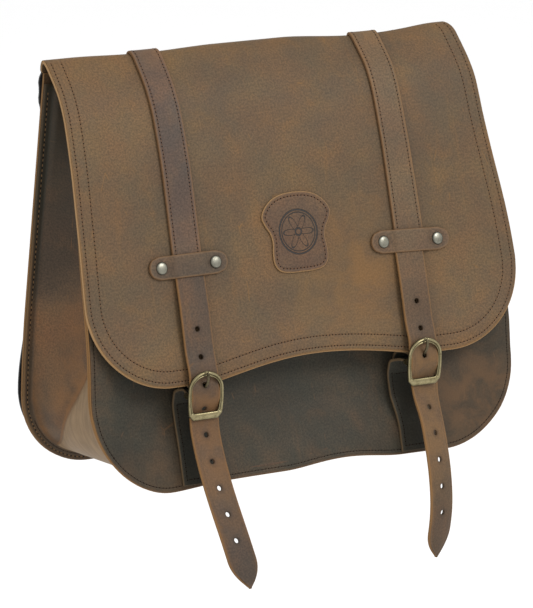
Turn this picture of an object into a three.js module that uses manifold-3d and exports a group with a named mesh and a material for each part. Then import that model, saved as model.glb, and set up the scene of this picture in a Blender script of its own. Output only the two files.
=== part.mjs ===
// A leather motorcycle saddlebag: a wedge-shaped bag with a curved lid, held shut by two straps.
// Millimetres. +X is to the right of someone facing the bag, +Y is towards the motorcycle, +Z is up.
// The origin is the middle of the rear face, where the bag rests against the motorcycle.
import * as THREE from 'three';
import { mergeVertices } from 'three/addons/utils/BufferGeometryUtils.js';
import Module from 'manifold-3d';

const wasm = await Module();
wasm.setup();

// ---------------------------------------------------------------------------------------------
// Driving dimensions
// ---------------------------------------------------------------------------------------------
const GAP = 0.3;                  // clearance between pieces that touch
const FACET_GAP = 0.8;            // clearance where a flat-sided wall follows a curved panel

const BAG_TOP = 178;              // height of the top edge of the lid
const BAG_BOTTOM = -180;          // height of the bottom edge of the panels
const PANEL_THICKNESS = 3;        // leather of the panels and the gussets
const LID_THICKNESS = 3.2;
const STRAP_THICKNESS = 2.6;
const BACKING_THICKNESS = 2.5;    // black sheet behind the back panel, and the leather sewn above it

const BACK_HALF_WIDTH_TOP = 204.5;
const BACK_TAPER = 0.0615;        // how much wider each side gets per millimetre downwards
const BACK_CORNER = 65;
const BACK_TOP = BAG_TOP - 4;     // top edge of the back panel, inside the bend of the lid

const FRONT_HALF_WIDTH_TOP = 197;
const FRONT_TAPER = 0.066;
const FRONT_CORNER = 76;
const FRONT_TOP = BAG_TOP - 48;   // top edge of the front panel, under the lid
const FRONT_TOP_DEPTH = 32;       // how far forward of the rear face the front panel starts
const FRONT_BOTTOM_DEPTH = 119;

const FLANGE_INSET = 9.5;         // from the edge of a panel in to the wall of the gusset
const EDGE_INSET = 1;             // from the edge of a panel in to the edge of the gusset's flange

const LID_HALF_WIDTH_TOP = 206;
const LID_HALF_WIDTH_BOTTOM = 217;
const LID_CORNER = 76;
const LID_DROP = 84;              // how far below the top the bend of the lid ends
const LID_STRAIGHT_END = [118, BAG_TOP - 266];   // depth and height of the lowest edge
const LID_SCOOP = 13;             // how far the middle of the lower edge is cut up
const HEM_HEIGHT = 30;            // the strip of the lid that is sewn behind the back panel

const STRAP_X = 111;              // middle of each strap, left and right of the bag's middle
const STRAP_WIDTH = 28;
const KEEPER_WIDTH = 76;
const KEEPER_HEIGHT = 20;
const KEEPER_Z = BAG_TOP - 168;
const RIVET_SPACING = 52.5;
const HOLE_PITCH = 24;
const HOLE_RADIUS = 2.4;
const BILLET_TIP = 25;            // length of the pointed end
const RIVET_SHANK = 2;            // radius
const RIVET_HEAD = 4.9;           // radius of the domed cap
const BADGE_HALF_WIDTH = 34;
const BADGE_HALF_HEIGHT = 32;
const BADGE_THICKNESS = 2;
const BADGE_Z = BAG_TOP - 154;

const BAR_DEPTH = 119.6;          // the buckle's bar
const BAR_Z = BAG_TOP - 271;
const BAR_RADIUS = 1.4;
const BUCKLE_SHOULDER = 8;        // height above the bar where the frame's round top starts
const FRAME_OFFSET = 5.6;         // from the bar forward to the middle of the buckle's frame
const FRAME_THICKNESS = 3.4;
const FRAME_HALF_WIDTH = 17.6;
const FRAME_HALF_HEIGHT = 21.2;
const FRAME_OPENING_HALF_WIDTH = 14.6;
const PRONG_RADIUS = 1.15;
const PRONG_EYE_RADIUS = 3.1;
const TAB_WIDTH = 32;
const TAB_TOP = BAG_TOP - 285;    // the row of stitches where the buckle tab leaves the front panel
// Neither strap hangs quite straight: how far each buckle sits to the right, forward and up from the
// place straight below its keeper.
const BUCKLE_SHIFT = { left: [-3, 0.8, -3], right: [-2.5, 0, 0] };
const TONGUE_WIDTH = 26;
const TONGUE_ROOT = [111.6, BAG_TOP - 281];      // depth and height of the fold it hangs from

// ---------------------------------------------------------------------------------------------
// Materials
// ---------------------------------------------------------------------------------------------
const lidLeather = new THREE.MeshStandardMaterial({ color: 0x78603f, roughness: 0.55, metalness: 0 });
const bodyLeather = new THREE.MeshStandardMaterial({ color: 0x4f4336, roughness: 0.6, metalness: 0 });
const tabLeather = new THREE.MeshStandardMaterial({ color: 0x2e2822, roughness: 0.6, metalness: 0 });
const blackBacking = new THREE.MeshStandardMaterial({ color: 0x141414, roughness: 0.35, metalness: 0 });
const brass = new THREE.MeshStandardMaterial({ color: 0x9a9070, roughness: 0.35, metalness: 1 });

// ---------------------------------------------------------------------------------------------
// Solids
// ---------------------------------------------------------------------------------------------
function signedVolume(geometry) {
  const p = geometry.getAttribute('position');
  const index = geometry.getIndex();
  const [a, b, c] = [new THREE.Vector3(), new THREE.Vector3(), new THREE.Vector3()];
  let volume = 0;
  for (let i = 0; i < index.count; i += 3) {
    a.fromBufferAttribute(p, index.getX(i));
    b.fromBufferAttribute(p, index.getX(i + 1));
    c.fromBufferAttribute(p, index.getX(i + 2));
    volume += a.dot(b.cross(c)) / 6;
  }
  return volume;
}

// Turns every triangle round where a closed geometry was built with its faces pointing in.
function facingOut(geometry) {
  if (signedVolume(geometry) > 0) return geometry;
  const index = geometry.getIndex();
  for (let i = 0; i < index.count; i += 3) {
    const first = index.getX(i);
    index.setX(i, index.getX(i + 1));
    index.setX(i + 1, first);
  }
  return geometry;
}

function welded(geometry) {
  const bare = geometry.clone();
  bare.deleteAttribute('normal');
  bare.deleteAttribute('uv');
  return facingOut(mergeVertices(bare, 1e-4));
}

function toManifold(geometry) {
  const closed = welded(geometry);
  return new wasm.Manifold(new wasm.Mesh({
    numProp: 3,
    vertProperties: new Float32Array(closed.getAttribute('position').array),
    triVerts: new Uint32Array(closed.getIndex().array),
  }));
}

function fromManifold(manifold) {
  const mesh = manifold.getMesh();
  const geometry = new THREE.BufferGeometry();
  geometry.setAttribute('position', new THREE.BufferAttribute(new Float32Array(mesh.vertProperties), 3));
  geometry.setIndex(new THREE.BufferAttribute(new Uint32Array(mesh.triVerts), 1));
  return geometry;
}

function cut(geometry, tools) {
  let result = toManifold(geometry);
  for (const tool of tools) result = result.subtract(toManifold(tool));
  return fromManifold(result);
}

function join(pieces) {
  let result = toManifold(pieces[0]);
  for (const piece of pieces.slice(1)) result = result.add(toManifold(piece));
  return fromManifold(result);
}

// A closed sheet over a grid. place(column, row, face) gives a point on its inner (0) or outer (1) face.
function sheet(columns, rows, place) {
  const positions = [];
  for (const face of [0, 1]) {
    for (let row = 0; row < rows; row++) {
      for (let column = 0; column < columns; column++) positions.push(...place(column, row, face));
    }
  }
  const at = (column, row, face) => (face * rows + row) * columns + column;
  const index = [];
  const quad = (a, b, c, d) => index.push(a, b, c, a, c, d);
  for (let row = 0; row + 1 < rows; row++) {
    for (let column = 0; column + 1 < columns; column++) {
      quad(at(column, row, 1), at(column + 1, row, 1), at(column + 1, row + 1, 1), at(column, row + 1, 1));
      quad(at(column, row + 1, 0), at(column + 1, row + 1, 0), at(column + 1, row, 0), at(column, row, 0));
    }
  }
  for (let column = 0; column + 1 < columns; column++) {
    const last = rows - 1;
    quad(at(column, 0, 0), at(column + 1, 0, 0), at(column + 1, 0, 1), at(column, 0, 1));
    quad(at(column, last, 1), at(column + 1, last, 1), at(column + 1, last, 0), at(column, last, 0));
  }
  for (let row = 0; row + 1 < rows; row++) {
    const last = columns - 1;
    quad(at(0, row, 1), at(0, row + 1, 1), at(0, row + 1, 0), at(0, row, 0));
    quad(at(last, row, 0), at(last, row + 1, 0), at(last, row + 1, 1), at(last, row, 1));
  }
  const geometry = new THREE.BufferGeometry();
  geometry.setAttribute('position', new THREE.Float32BufferAttribute(positions, 3));
  geometry.setIndex(index);
  return facingOut(geometry);
}

function steps(from, to, count) {
  return Array.from({ length: count + 1 }, (_, i) => from + (to - from) * (i / count));
}

function smooth(t) {
  const clamped = Math.min(1, Math.max(0, t));
  return clamped * clamped * (3 - 2 * clamped);
}

// ---------------------------------------------------------------------------------------------
// Side profiles: curves of (depth forward of the rear face, height)
// ---------------------------------------------------------------------------------------------
const v2 = (depth, z) => new THREE.Vector2(depth, z);

// The outer face of the lid: a bend over the top, then straight down and forward.
const lidBendEnd = v2(58, BAG_TOP - LID_DROP);
const lidProfile = new THREE.CurvePath();
lidProfile.add(new THREE.CubicBezierCurve(
  v2(10, BAG_TOP - 3), v2(24, BAG_TOP - 13), v2(48, BAG_TOP - 54), lidBendEnd));
lidProfile.add(new THREE.LineCurve(lidBendEnd, v2(...LID_STRAIGHT_END)));

// The outer face of the front panel.
const frontProfile = new THREE.QuadraticBezierCurve(
  v2(FRONT_TOP_DEPTH, FRONT_TOP), v2(96, BAG_TOP - 195), v2(FRONT_BOTTOM_DEPTH, BAG_BOTTOM));

// The middle of a strap's free end, as depths and drops below the top of the lid: off the lid, under
// the buckle's top, over its bar, under its bottom bar. The tail hangs on from there.
const throughBuckle = [
  [92.4, 180], [104.4, 214], [112.8, 236], [120.4, 252], [121.6, 259], [124, 265], [125.2, 271],
  [124.2, 277], [121.7, 284], [121.6, 290], [124, 303]];
const leftTail = [[134, 329], [149, 360], [167, 392], [189, 429]];
const rightTail = [[139, 330], [152, 365], [157, 400], [152, 438]];

function billetProfile(tail, [, forward, up]) {
  const shifted = throughBuckle.map(([depth, drop]) => {
    const share = smooth((drop - throughBuckle[0][1]) / 60);
    return [depth + forward * share, drop - up * share];
  });
  return new THREE.SplineCurve([...shifted, ...tail].map(([depth, drop]) => v2(depth, BAG_TOP - drop)));
}

// The point at a length along a profile, lifted off it along its outward normal: [depth, height].
function along(profile, length, lift) {
  const t = THREE.MathUtils.clamp(length / profile.getLength(), 0, 1);
  const point = profile instanceof THREE.CurvePath ? profile.getPoint(t) : profile.getPointAt(t);
  const tangent = profile instanceof THREE.CurvePath ? profile.getTangent(t) : profile.getTangentAt(t);
  return [point.x - tangent.y * lift, point.y + tangent.x * lift];
}

// The length along a profile at which it reaches a height.
function lengthAtHeight(profile, z) {
  let [low, high] = [0, profile.getLength()];
  for (let i = 0; i < 40; i++) {
    const middle = (low + high) / 2;
    if (along(profile, middle, 0)[1] > z) low = middle;
    else high = middle;
  }
  return low;
}

const lidLength = lidProfile.getLength();
const lidBendLength = lengthAtHeight(lidProfile, lidBendEnd.y);

// Depth of the inner face of the front panel at a height.
function frontInnerDepth(z) {
  const length = lengthAtHeight(frontProfile, z);
  const [outer] = along(frontProfile, length, 0);
  const [lifted] = along(frontProfile, length, 1);
  return outer - PANEL_THICKNESS / (lifted - outer);
}

// ---------------------------------------------------------------------------------------------
// Outlines
// ---------------------------------------------------------------------------------------------
// How far up a rounded lower corner lifts the edge at a distance from the middle.
function cornerRise(x, halfWidth, radius) {
  const into = Math.max(0, Math.abs(x) - (halfWidth - radius));
  return radius - Math.sqrt(Math.max(0, radius * radius - into * into));
}

// Positions across a panel: even in the middle, and by equal angles round each lower corner.
function columnsAcross(halfWidth, radius, middleSteps) {
  const cornerSteps = 7;
  const inner = halfWidth - radius;
  const corner = steps(0, Math.PI / 2, cornerSteps).map((angle) => inner + radius * Math.sin(angle));
  const left = corner.map((x) => -x).reverse();
  return [...left, ...steps(-inner, inner, middleSteps).slice(1, -1), ...corner];
}

const backHalfWidth = (z) => BACK_HALF_WIDTH_TOP + (BACK_TOP - z) * BACK_TAPER;
const frontHalfWidth = (z) => FRONT_HALF_WIDTH_TOP + (FRONT_TOP - z) * FRONT_TAPER;

// A flat panel's outline: straight top, sides that spread downwards, rounded lower corners.
function panelOutline(top, bottom, halfWidth, radius) {
  const shape = new THREE.Shape();
  const wide = halfWidth(bottom + radius);
  shape.moveTo(-halfWidth(top), top);
  shape.lineTo(-wide, bottom + radius);
  shape.absarc(-wide + radius, bottom + radius, radius, Math.PI, 1.5 * Math.PI, false);
  shape.absarc(wide - radius, bottom + radius, radius, 1.5 * Math.PI, 2 * Math.PI, false);
  shape.lineTo(halfWidth(top), top);
  return shape;
}

// A flat outline in X and Z, given a thickness from rearDepth forward.
function flatPanel(shape, rearDepth, thickness) {
  const settings = { depth: thickness, bevelEnabled: false, curveSegments: 10 };
  const geometry = new THREE.ExtrudeGeometry(shape, settings);
  geometry.rotateX(Math.PI / 2);
  geometry.translate(0, -rearDepth, 0);
  return welded(geometry);
}

// ---------------------------------------------------------------------------------------------
// The bag's body
// ---------------------------------------------------------------------------------------------
const BACK_DEPTH = BACKING_THICKNESS + GAP;      // rear face of the back panel

function backPanel() {
  const outline = panelOutline(BACK_TOP, BAG_BOTTOM, backHalfWidth, BACK_CORNER);
  return flatPanel(outline, BACK_DEPTH, PANEL_THICKNESS);
}

// The black sheet shows as a narrow rim outside the back panel.
function backProtector() {
  const rim = 2;
  const top = BAG_TOP - HEM_HEIGHT - 1;
  const outline = panelOutline(top, BAG_BOTTOM - rim, (z) => backHalfWidth(z) + rim, BACK_CORNER + rim);
  return flatPanel(outline, 0, BACKING_THICKNESS);
}

function frontPanel() {
  const length = frontProfile.getLength();
  const wide = frontHalfWidth(BAG_BOTTOM + FRONT_CORNER);
  const across = columnsAcross(wide, FRONT_CORNER, 4);
  const down = steps(0, 1, 12);
  return sheet(across.length, down.length, (column, row, face) => {
    const x = across[column];
    const reach = length - cornerRise(x, wide, FRONT_CORNER);
    const [depth, z] = along(frontProfile, down[row] * reach, (face - 1) * PANEL_THICKNESS);
    return [x * Math.min(1, frontHalfWidth(z) / wide), -depth, z];
  });
}

// Stations round one half of a panel's outline, from the top of the side to the bottom middle.
// Each is a point and the outward direction there, in X and Z, for the right side.
function outlineStations(top, halfWidth, radius, endX) {
  const wide = halfWidth(BAG_BOTTOM + radius);
  const stations = [];
  for (const z of steps(top, BAG_BOTTOM + radius, 7).slice(0, -1)) stations.push([halfWidth(z), z, 1, 0]);
  for (const angle of steps(0, Math.PI / 2, 8)) {
    const [out, down] = [Math.cos(angle), Math.sin(angle)];
    stations.push([wide - radius + radius * out, BAG_BOTTOM + radius - radius * down, out, -down]);
  }
  for (const x of steps(wide - radius, endX, 3).slice(1)) stations.push([x, BAG_BOTTOM, 0, -1]);
  return stations;
}

// A gusset is the side wall and half of the floor, with flanges turned out along both panels.
function gusset(side) {
  const top = FRONT_TOP - 2;
  const endX = GAP;
  const back = outlineStations(top, backHalfWidth, BACK_CORNER, endX);
  const front = outlineStations(top, frontHalfWidth, FRONT_CORNER, endX);
  const backFace = BACK_DEPTH + PANEL_THICKNESS + GAP;
  const onBack = ([x, z, nx, nz], distance, depth) => [side * (x - nx * distance), -depth, z - nz * distance];
  const onFront = ([x, z, nx, nz], distance, setBack) => {
    const height = z - nz * distance;
    return [side * (x - nx * distance), -(frontInnerDepth(height) - FACET_GAP - setBack), height];
  };
  const wall = FLANGE_INSET + PANEL_THICKNESS;
  const rings = back.map((station, i) => [
    onBack(station, EDGE_INSET, backFace),
    onBack(station, EDGE_INSET, backFace + PANEL_THICKNESS),
    onBack(station, FLANGE_INSET, backFace + PANEL_THICKNESS),
    onFront(front[i], FLANGE_INSET, PANEL_THICKNESS),
    onFront(front[i], EDGE_INSET, PANEL_THICKNESS),
    onFront(front[i], EDGE_INSET, 0),
    onFront(front[i], wall, 0),
    onBack(station, wall, backFace),
  ]);
  return loft(rings);
}

// A closed solid through a row of rings that have the same number of points.
function loft(rings) {
  const count = rings[0].length;
  const index = [];
  for (let ring = 0; ring + 1 < rings.length; ring++) {
    for (let i = 0; i < count; i++) {
      const [a, b] = [ring * count + i, ring * count + ((i + 1) % count)];
      index.push(a, b, b + count, a, b + count, a + count);
    }
  }
  const endCap = (ring, reversed) => {
    const flat = ringInItsPlane(rings[ring]);
    for (const [a, b, c] of THREE.ShapeUtils.triangulateShape(flat, [])) {
      const corners = reversed ? [c, b, a] : [a, b, c];
      index.push(...corners.map((corner) => ring * count + corner));
    }
  };
  endCap(0, true);
  endCap(rings.length - 1, false);
  const geometry = new THREE.BufferGeometry();
  geometry.setAttribute('position', new THREE.Float32BufferAttribute(rings.flat(2), 3));
  geometry.setIndex(index);
  return facingOut(geometry);
}

// A ring's corners in two dimensions, in the order that makes them counter-clockwise seen from the start.
function ringInItsPlane(ring) {
  const first = new THREE.Vector3(...ring[0]);
  const sideways = new THREE.Vector3(...ring[ring.length - 1]).sub(first).normalize();
  const depthways = new THREE.Vector3(0, -1, 0);
  return ring.map((corner) => {
    const offset = new THREE.Vector3(...corner).sub(first);
    return new THREE.Vector2(offset.dot(depthways), offset.dot(sideways));
  });
}

// The sewn part of a buckle tab, on the front panel from its row of stitches to the bottom seam.
function buckleTab(centreX, [right, , up]) {
  const from = lengthAtHeight(frontProfile, TAB_TOP + up);
  const to = lengthAtHeight(frontProfile, BAG_BOTTOM + 1);
  const down = steps(from, to, 6);
  return sheet(2, down.length, (column, row, face) => {
    const [depth, z] = along(frontProfile, down[row], GAP + face * STRAP_THICKNESS);
    return [centreX + right + (column - 0.5) * TAB_WIDTH, -depth, z];
  });
}

// The lid's hem, sewn behind the back panel and turned over its top edge. path holds the middle of the
// leather as depths and heights.
function lidHem() {
  const bendDepth = BACK_DEPTH + PANEL_THICKNESS / 2;
  const bendRadius = bendDepth - BACKING_THICKNESS / 2;
  const bendZ = BAG_TOP - bendDepth;
  const path = [[bendDepth - bendRadius, BAG_TOP - HEM_HEIGHT]];
  for (const angle of steps(0, 0.72 * Math.PI, 7)) {
    path.push([bendDepth - bendRadius * Math.cos(angle), bendZ + bendRadius * Math.sin(angle)]);
  }
  return sheet(2, path.length, (column, row, face) => {
    const [depth, z] = path[row];
    const [beforeDepth, beforeZ] = path[Math.max(0, row - 1)];
    const [afterDepth, afterZ] = path[Math.min(path.length - 1, row + 1)];
    const normal = new THREE.Vector2(beforeZ - afterZ, afterDepth - beforeDepth).normalize();
    const offset = (face - 0.5) * BACKING_THICKNESS;
    return [(column * 2 - 1) * LID_HALF_WIDTH_TOP, -(depth + normal.x * offset), z + normal.y * offset];
  });
}

// ---------------------------------------------------------------------------------------------
// The lid and what is sewn and riveted to it
// ---------------------------------------------------------------------------------------------
function lidHalfWidth(length) {
  const spread = LID_HALF_WIDTH_BOTTOM - LID_HALF_WIDTH_TOP;
  return LID_HALF_WIDTH_TOP + spread * Math.min(1, length / (lidLength - LID_CORNER));
}

// Where the lower edge ends: rounded corners, a lobe behind each strap, and a shallow scoop between.
function lidReach(x) {
  const scoopHalfWidth = STRAP_X - 15;
  const scoop = LID_SCOOP * smooth((scoopHalfWidth - Math.abs(x)) / 80);
  return lidLength - cornerRise(x, LID_HALF_WIDTH_BOTTOM, LID_CORNER) - scoop;
}

function lid() {
  const across = columnsAcross(LID_HALF_WIDTH_BOTTOM, LID_CORNER, 14);
  const bendRows = steps(0, lidBendLength, 8);
  const straightRows = 3;
  const down = bendRows.length + straightRows;
  const flap = sheet(across.length, down, (column, row, face) => {
    const x = across[column];
    const part = (row - bendRows.length + 1) / straightRows;
    const straight = lidBendLength + part * (lidReach(x) - lidBendLength);
    const length = row < bendRows.length ? bendRows[row] : straight;
    const [depth, z] = along(lidProfile, length, (face - 1) * LID_THICKNESS);
    return [x * lidHalfWidth(length) / LID_HALF_WIDTH_BOTTOM, -depth, z];
  });
  return cut(flap, rivetPlaces.map((place) => rivetHole(place)));
}

// A strap sewn down over the lid, from the top to the keeper.
function lidStrap(centreX) {
  const end = lengthAtHeight(lidProfile, KEEPER_Z - KEEPER_HEIGHT / 2);
  const down = [...steps(0, lidBendLength, 9), end];
  return sheet(2, down.length, (column, row, face) => {
    const [depth, z] = along(lidProfile, down[row], GAP + face * STRAP_THICKNESS);
    return [centreX + (column - 0.5) * STRAP_WIDTH, -depth, z];
  });
}

// A keeper holds the strap to the lid: it bridges the strap and is riveted down at each end.
function keeper(centreX) {
  const half = KEEPER_WIDTH / 2;
  const radius = KEEPER_HEIGHT / 2;
  const bridge = STRAP_WIDTH / 2 + 2;
  const slope = 5;
  const rounded = steps(0, Math.PI / 2, 5).map((angle) => half - radius + radius * Math.sin(angle)).reverse();
  const right = [...rounded, bridge + slope, bridge];
  const across = [...right.map((x) => -x), ...[...right].reverse()];
  const middle = lengthAtHeight(lidProfile, KEEPER_Z);
  const band = sheet(across.length, 3, (column, row, face) => {
    const x = across[column];
    const into = Math.max(0, Math.abs(x) - (half - radius));
    const reach = Math.sqrt(Math.max(0.2, radius * radius - into * into));
    const overStrap = STRAP_THICKNESS + GAP;
    const lift = GAP + overStrap * smooth((bridge + slope - Math.abs(x)) / slope) + face * STRAP_THICKNESS;
    const [depth, z] = along(lidProfile, middle + (row - 1) * reach, lift);
    return [centreX + x, -depth, z];
  });
  const own = rivetPlaces.filter((place) => Math.abs(place - centreX) < half);
  return cut(band, own.map((place) => rivetHole(place)));
}

const rivetPlaces = [-STRAP_X, STRAP_X].flatMap((x) => [x - RIVET_SPACING / 2, x + RIVET_SPACING / 2]);

// Turns something built along +Z to point straight out of the lid at the keepers' height.
function onLidAtKeeper(geometry, x) {
  const length = lengthAtHeight(lidProfile, KEEPER_Z);
  const [depth, z] = along(lidProfile, length, 0);
  const [outDepth, outZ] = along(lidProfile, length, 1);
  geometry.rotateX(Math.atan2(outDepth - depth, outZ - z));
  geometry.translate(x, -depth, z);
  return geometry;
}

function rivetHole(x) {
  const radius = RIVET_SHANK + 0.4;
  const hole = new THREE.CylinderGeometry(radius, radius, 30, 12);
  hole.rotateX(Math.PI / 2);
  return onLidAtKeeper(hole, x);
}

// A rivet: a domed cap outside the keeper, its shank, and the set head inside the lid.
function rivet(x) {
  const outside = STRAP_THICKNESS + 2 * GAP;
  const inside = -LID_THICKNESS - GAP;
  const profile = [
    [0, inside - 1.2], [RIVET_HEAD - 0.9, inside - 1], [RIVET_HEAD - 0.4, inside], [RIVET_SHANK, inside],
    [RIVET_SHANK, outside], [RIVET_HEAD, outside], [RIVET_HEAD - 0.2, outside + 0.9],
    [RIVET_HEAD - 2.1, outside + 1.9], [0, outside + 2.2],
  ].map(([radius, height]) => new THREE.Vector2(radius, height));
  const geometry = new THREE.LatheGeometry(profile, 16);
  geometry.rotateX(Math.PI / 2);
  return welded(onLidAtKeeper(geometry, x));
}

// The badge: a blank stitched patch, wide and rounded above a slight waist.
function badge() {
  const rows = steps(-1, 1, 14);
  const middle = lengthAtHeight(lidProfile, BADGE_Z);
  const halfWidthAt = (v) => {
    const ends = Math.sqrt(Math.max(0.02, 1 - Math.pow(Math.abs(v), 4)));
    const waist = 1 - 0.22 * Math.exp(-Math.pow((v - 0.12) / 0.28, 2));
    const narrower = 6 * smooth(v * 2);
    return (BADGE_HALF_WIDTH - narrower) * ends * waist;
  };
  return sheet(3, rows.length, (column, row, face) => {
    const length = middle + rows[row] * BADGE_HALF_HEIGHT;
    const [depth, z] = along(lidProfile, length, GAP + face * BADGE_THICKNESS);
    return [(column - 1) * halfWidthAt(rows[row]), -depth, z];
  });
}

// ---------------------------------------------------------------------------------------------
// The free ends of the straps
// ---------------------------------------------------------------------------------------------
// tail is how it hangs below the buckle, and drift how far it wanders to the right.
function billet(centreX, shift, tail, drift) {
  const profile = billetProfile(tail, shift);
  const length = profile.getLength();
  const middleX = (at) => centreX + shift[0] * smooth(at / 70) + drift * smooth(at / length - 0.4);
  const down = [...steps(0, length - BILLET_TIP, 30), length - BILLET_TIP / 2, length];
  const prongLength = lengthAtHeight(profile, BAR_Z + shift[2] + 7.5);
  const strap = sheet(3, down.length, (column, row, face) => {
    const taper = Math.min(1, 0.12 + (length - down[row]) / BILLET_TIP);
    const across = (column - 1) * STRAP_WIDTH / 2 * taper;
    const [depth, z] = along(profile, down[row], (face - 0.5) * STRAP_THICKNESS);
    return [middleX(down[row]) + across, -depth, z];
  });
  const holes = [-2, -1, 1, 2, 3, 4, 5, 6].map((step) => {
    const at = prongLength + step * HOLE_PITCH;
    return punch(profile, at, middleX(at), 0);
  });
  return cut(strap, [...holes, punch(profile, prongLength, middleX(prongLength), 2.6)]);
}

// The tool for a hole through a strap at a length along it; stretch makes it a slot.
function punch(profile, length, x, stretch) {
  const shape = new THREE.Shape();
  shape.absarc(0, stretch, HOLE_RADIUS, 0, Math.PI, false);
  shape.absarc(0, -stretch, HOLE_RADIUS, Math.PI, 2 * Math.PI, false);
  const tool = new THREE.ExtrudeGeometry(shape, { depth: 20, bevelEnabled: false, curveSegments: 5 });
  tool.translate(0, 0, -10);
  const [depth, z] = along(profile, length, 0);
  const [outDepth, outZ] = along(profile, length, 1);
  tool.rotateX(Math.atan2(outDepth - depth, outZ - z));
  tool.translate(x, -depth, z);
  return tool;
}

// ---------------------------------------------------------------------------------------------
// Buckles
// ---------------------------------------------------------------------------------------------
// The frame's outline around its bar: a round top, bowed sides and a flat bottom with cut corners.
function buckleOutline(halfWidth, top, bottom, chamfer) {
  const shape = new THREE.Shape();
  shape.moveTo(-halfWidth + chamfer, bottom);
  shape.lineTo(halfWidth - chamfer, bottom);
  shape.lineTo(halfWidth, bottom + chamfer);
  shape.quadraticCurveTo(halfWidth + 1.2, 0, halfWidth, BUCKLE_SHOULDER);
  shape.absellipse(0, BUCKLE_SHOULDER, halfWidth, top - BUCKLE_SHOULDER, 0, Math.PI, false, 0);
  shape.quadraticCurveTo(-halfWidth - 1.2, 0, -halfWidth, bottom + chamfer);
  return shape;
}

function buckleFrame(centreX) {
  const shape = buckleOutline(FRAME_HALF_WIDTH, FRAME_HALF_HEIGHT, -FRAME_HALF_HEIGHT, 4);
  shape.holes.push(buckleOutline(FRAME_OPENING_HALF_WIDTH, 16.5, -14.6, 1));
  const ring = new THREE.ExtrudeGeometry(shape, {
    depth: FRAME_THICKNESS - 1.2, bevelEnabled: true, bevelThickness: 0.6, bevelSize: 0.5,
    bevelOffset: -0.5, bevelSegments: 1, curveSegments: 9,
  });
  ring.translate(0, 0, -(FRAME_THICKNESS - 1.2) / 2);
  ring.rotateX(Math.PI / 2);
  ring.translate(0, -FRAME_OFFSET, 0);
  const bar = new THREE.CylinderGeometry(BAR_RADIUS, BAR_RADIUS, 33, 12);
  bar.rotateZ(Math.PI / 2);
  const lugs = [-1, 1].map((side) => {
    const lug = new THREE.BoxGeometry(2.6, FRAME_OFFSET + 1.6, 4.4);
    lug.translate(side * 16.5, -(FRAME_OFFSET - 0.8) / 2, 0);
    return lug;
  });
  const frame = join([ring, bar, ...lugs]);
  frame.translate(centreX, -BAR_DEPTH, BAR_Z);
  return frame;
}

// The prong turns on the bar, comes up through a hole in the strap and rests on the frame's top.
function prong(centreX) {
  const eye = new THREE.Shape();
  eye.absarc(0, 0, PRONG_EYE_RADIUS, 0, 2 * Math.PI, false);
  const bore = new THREE.Path();
  bore.absarc(0, 0, BAR_RADIUS + 0.2, 0, 2 * Math.PI, true);
  eye.holes.push(bore);
  const ring = new THREE.ExtrudeGeometry(eye, { depth: 3.4, bevelEnabled: false, curveSegments: 9 });
  ring.translate(0, 0, -1.7);
  ring.rotateY(Math.PI / 2);
  const v = (forward, up) => new THREE.Vector3(0, -forward, up);
  const spine = new THREE.CatmullRomCurve3([
    v(0.9, 2.2), v(2.6, 5), v(6.4, 9), v(8.6, 13.5), v(8.8, 18), v(8.5, 20.8)]);
  const section = new THREE.Shape();
  section.absarc(0, 0, PRONG_RADIUS, 0, 2 * Math.PI, false);
  const alongSpine = { steps: 12, bevelEnabled: false, curveSegments: 5, extrudePath: spine };
  const shank = new THREE.ExtrudeGeometry(section, alongSpine);
  const whole = join([ring, shank]);
  whole.translate(centreX, -BAR_DEPTH, BAR_Z);
  return whole;
}

// Turns a shape drawn as (depth, height) and extruded to lie across the bag.
const acrossTheBag = new THREE.Matrix4().makeBasis(
  new THREE.Vector3(0, -1, 0), new THREE.Vector3(0, 0, 1), new THREE.Vector3(-1, 0, 0));

// The tongue is the fold of the tab that holds the bar, with a slot for the prong.
function tongue(centreX) {
  const [rootDepth, rootZ] = TONGUE_ROOT;
  const [rise, run] = [BAR_Z - rootZ, BAR_DEPTH - rootDepth];
  const [wide, narrow] = [3.3, 2.2];
  const lean = Math.atan2(rise, run);
  const splay = Math.acos((wide - narrow) / Math.hypot(rise, run));
  const shape = new THREE.Shape();
  shape.absarc(0, 0, wide, lean + Math.PI + splay, lean + 3 * Math.PI - splay, false);
  shape.absarc(-run, -rise, narrow, lean + Math.PI - splay, lean + Math.PI + splay, false);
  const bore = new THREE.Path();
  bore.absarc(0, 0, BAR_RADIUS + 0.25, 0, 2 * Math.PI, true);
  shape.holes.push(bore);
  const fold = new THREE.ExtrudeGeometry(shape, { depth: TONGUE_WIDTH, bevelEnabled: false, curveSegments: 9 });
  fold.translate(0, 0, -TONGUE_WIDTH / 2);
  fold.applyMatrix4(acrossTheBag);
  const slot = new THREE.BoxGeometry(5, 14, 8.6);
  const cutFold = cut(fold, [slot]);
  cutFold.translate(centreX, -BAR_DEPTH, BAR_Z);
  return cutFold;
}

// ---------------------------------------------------------------------------------------------
// The assembly
// ---------------------------------------------------------------------------------------------
const bag = new THREE.Group();

function add(name, geometry, material) {
  geometry.computeVertexNormals();
  const mesh = new THREE.Mesh(geometry, material);
  mesh.name = name;
  bag.add(mesh);
}

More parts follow.
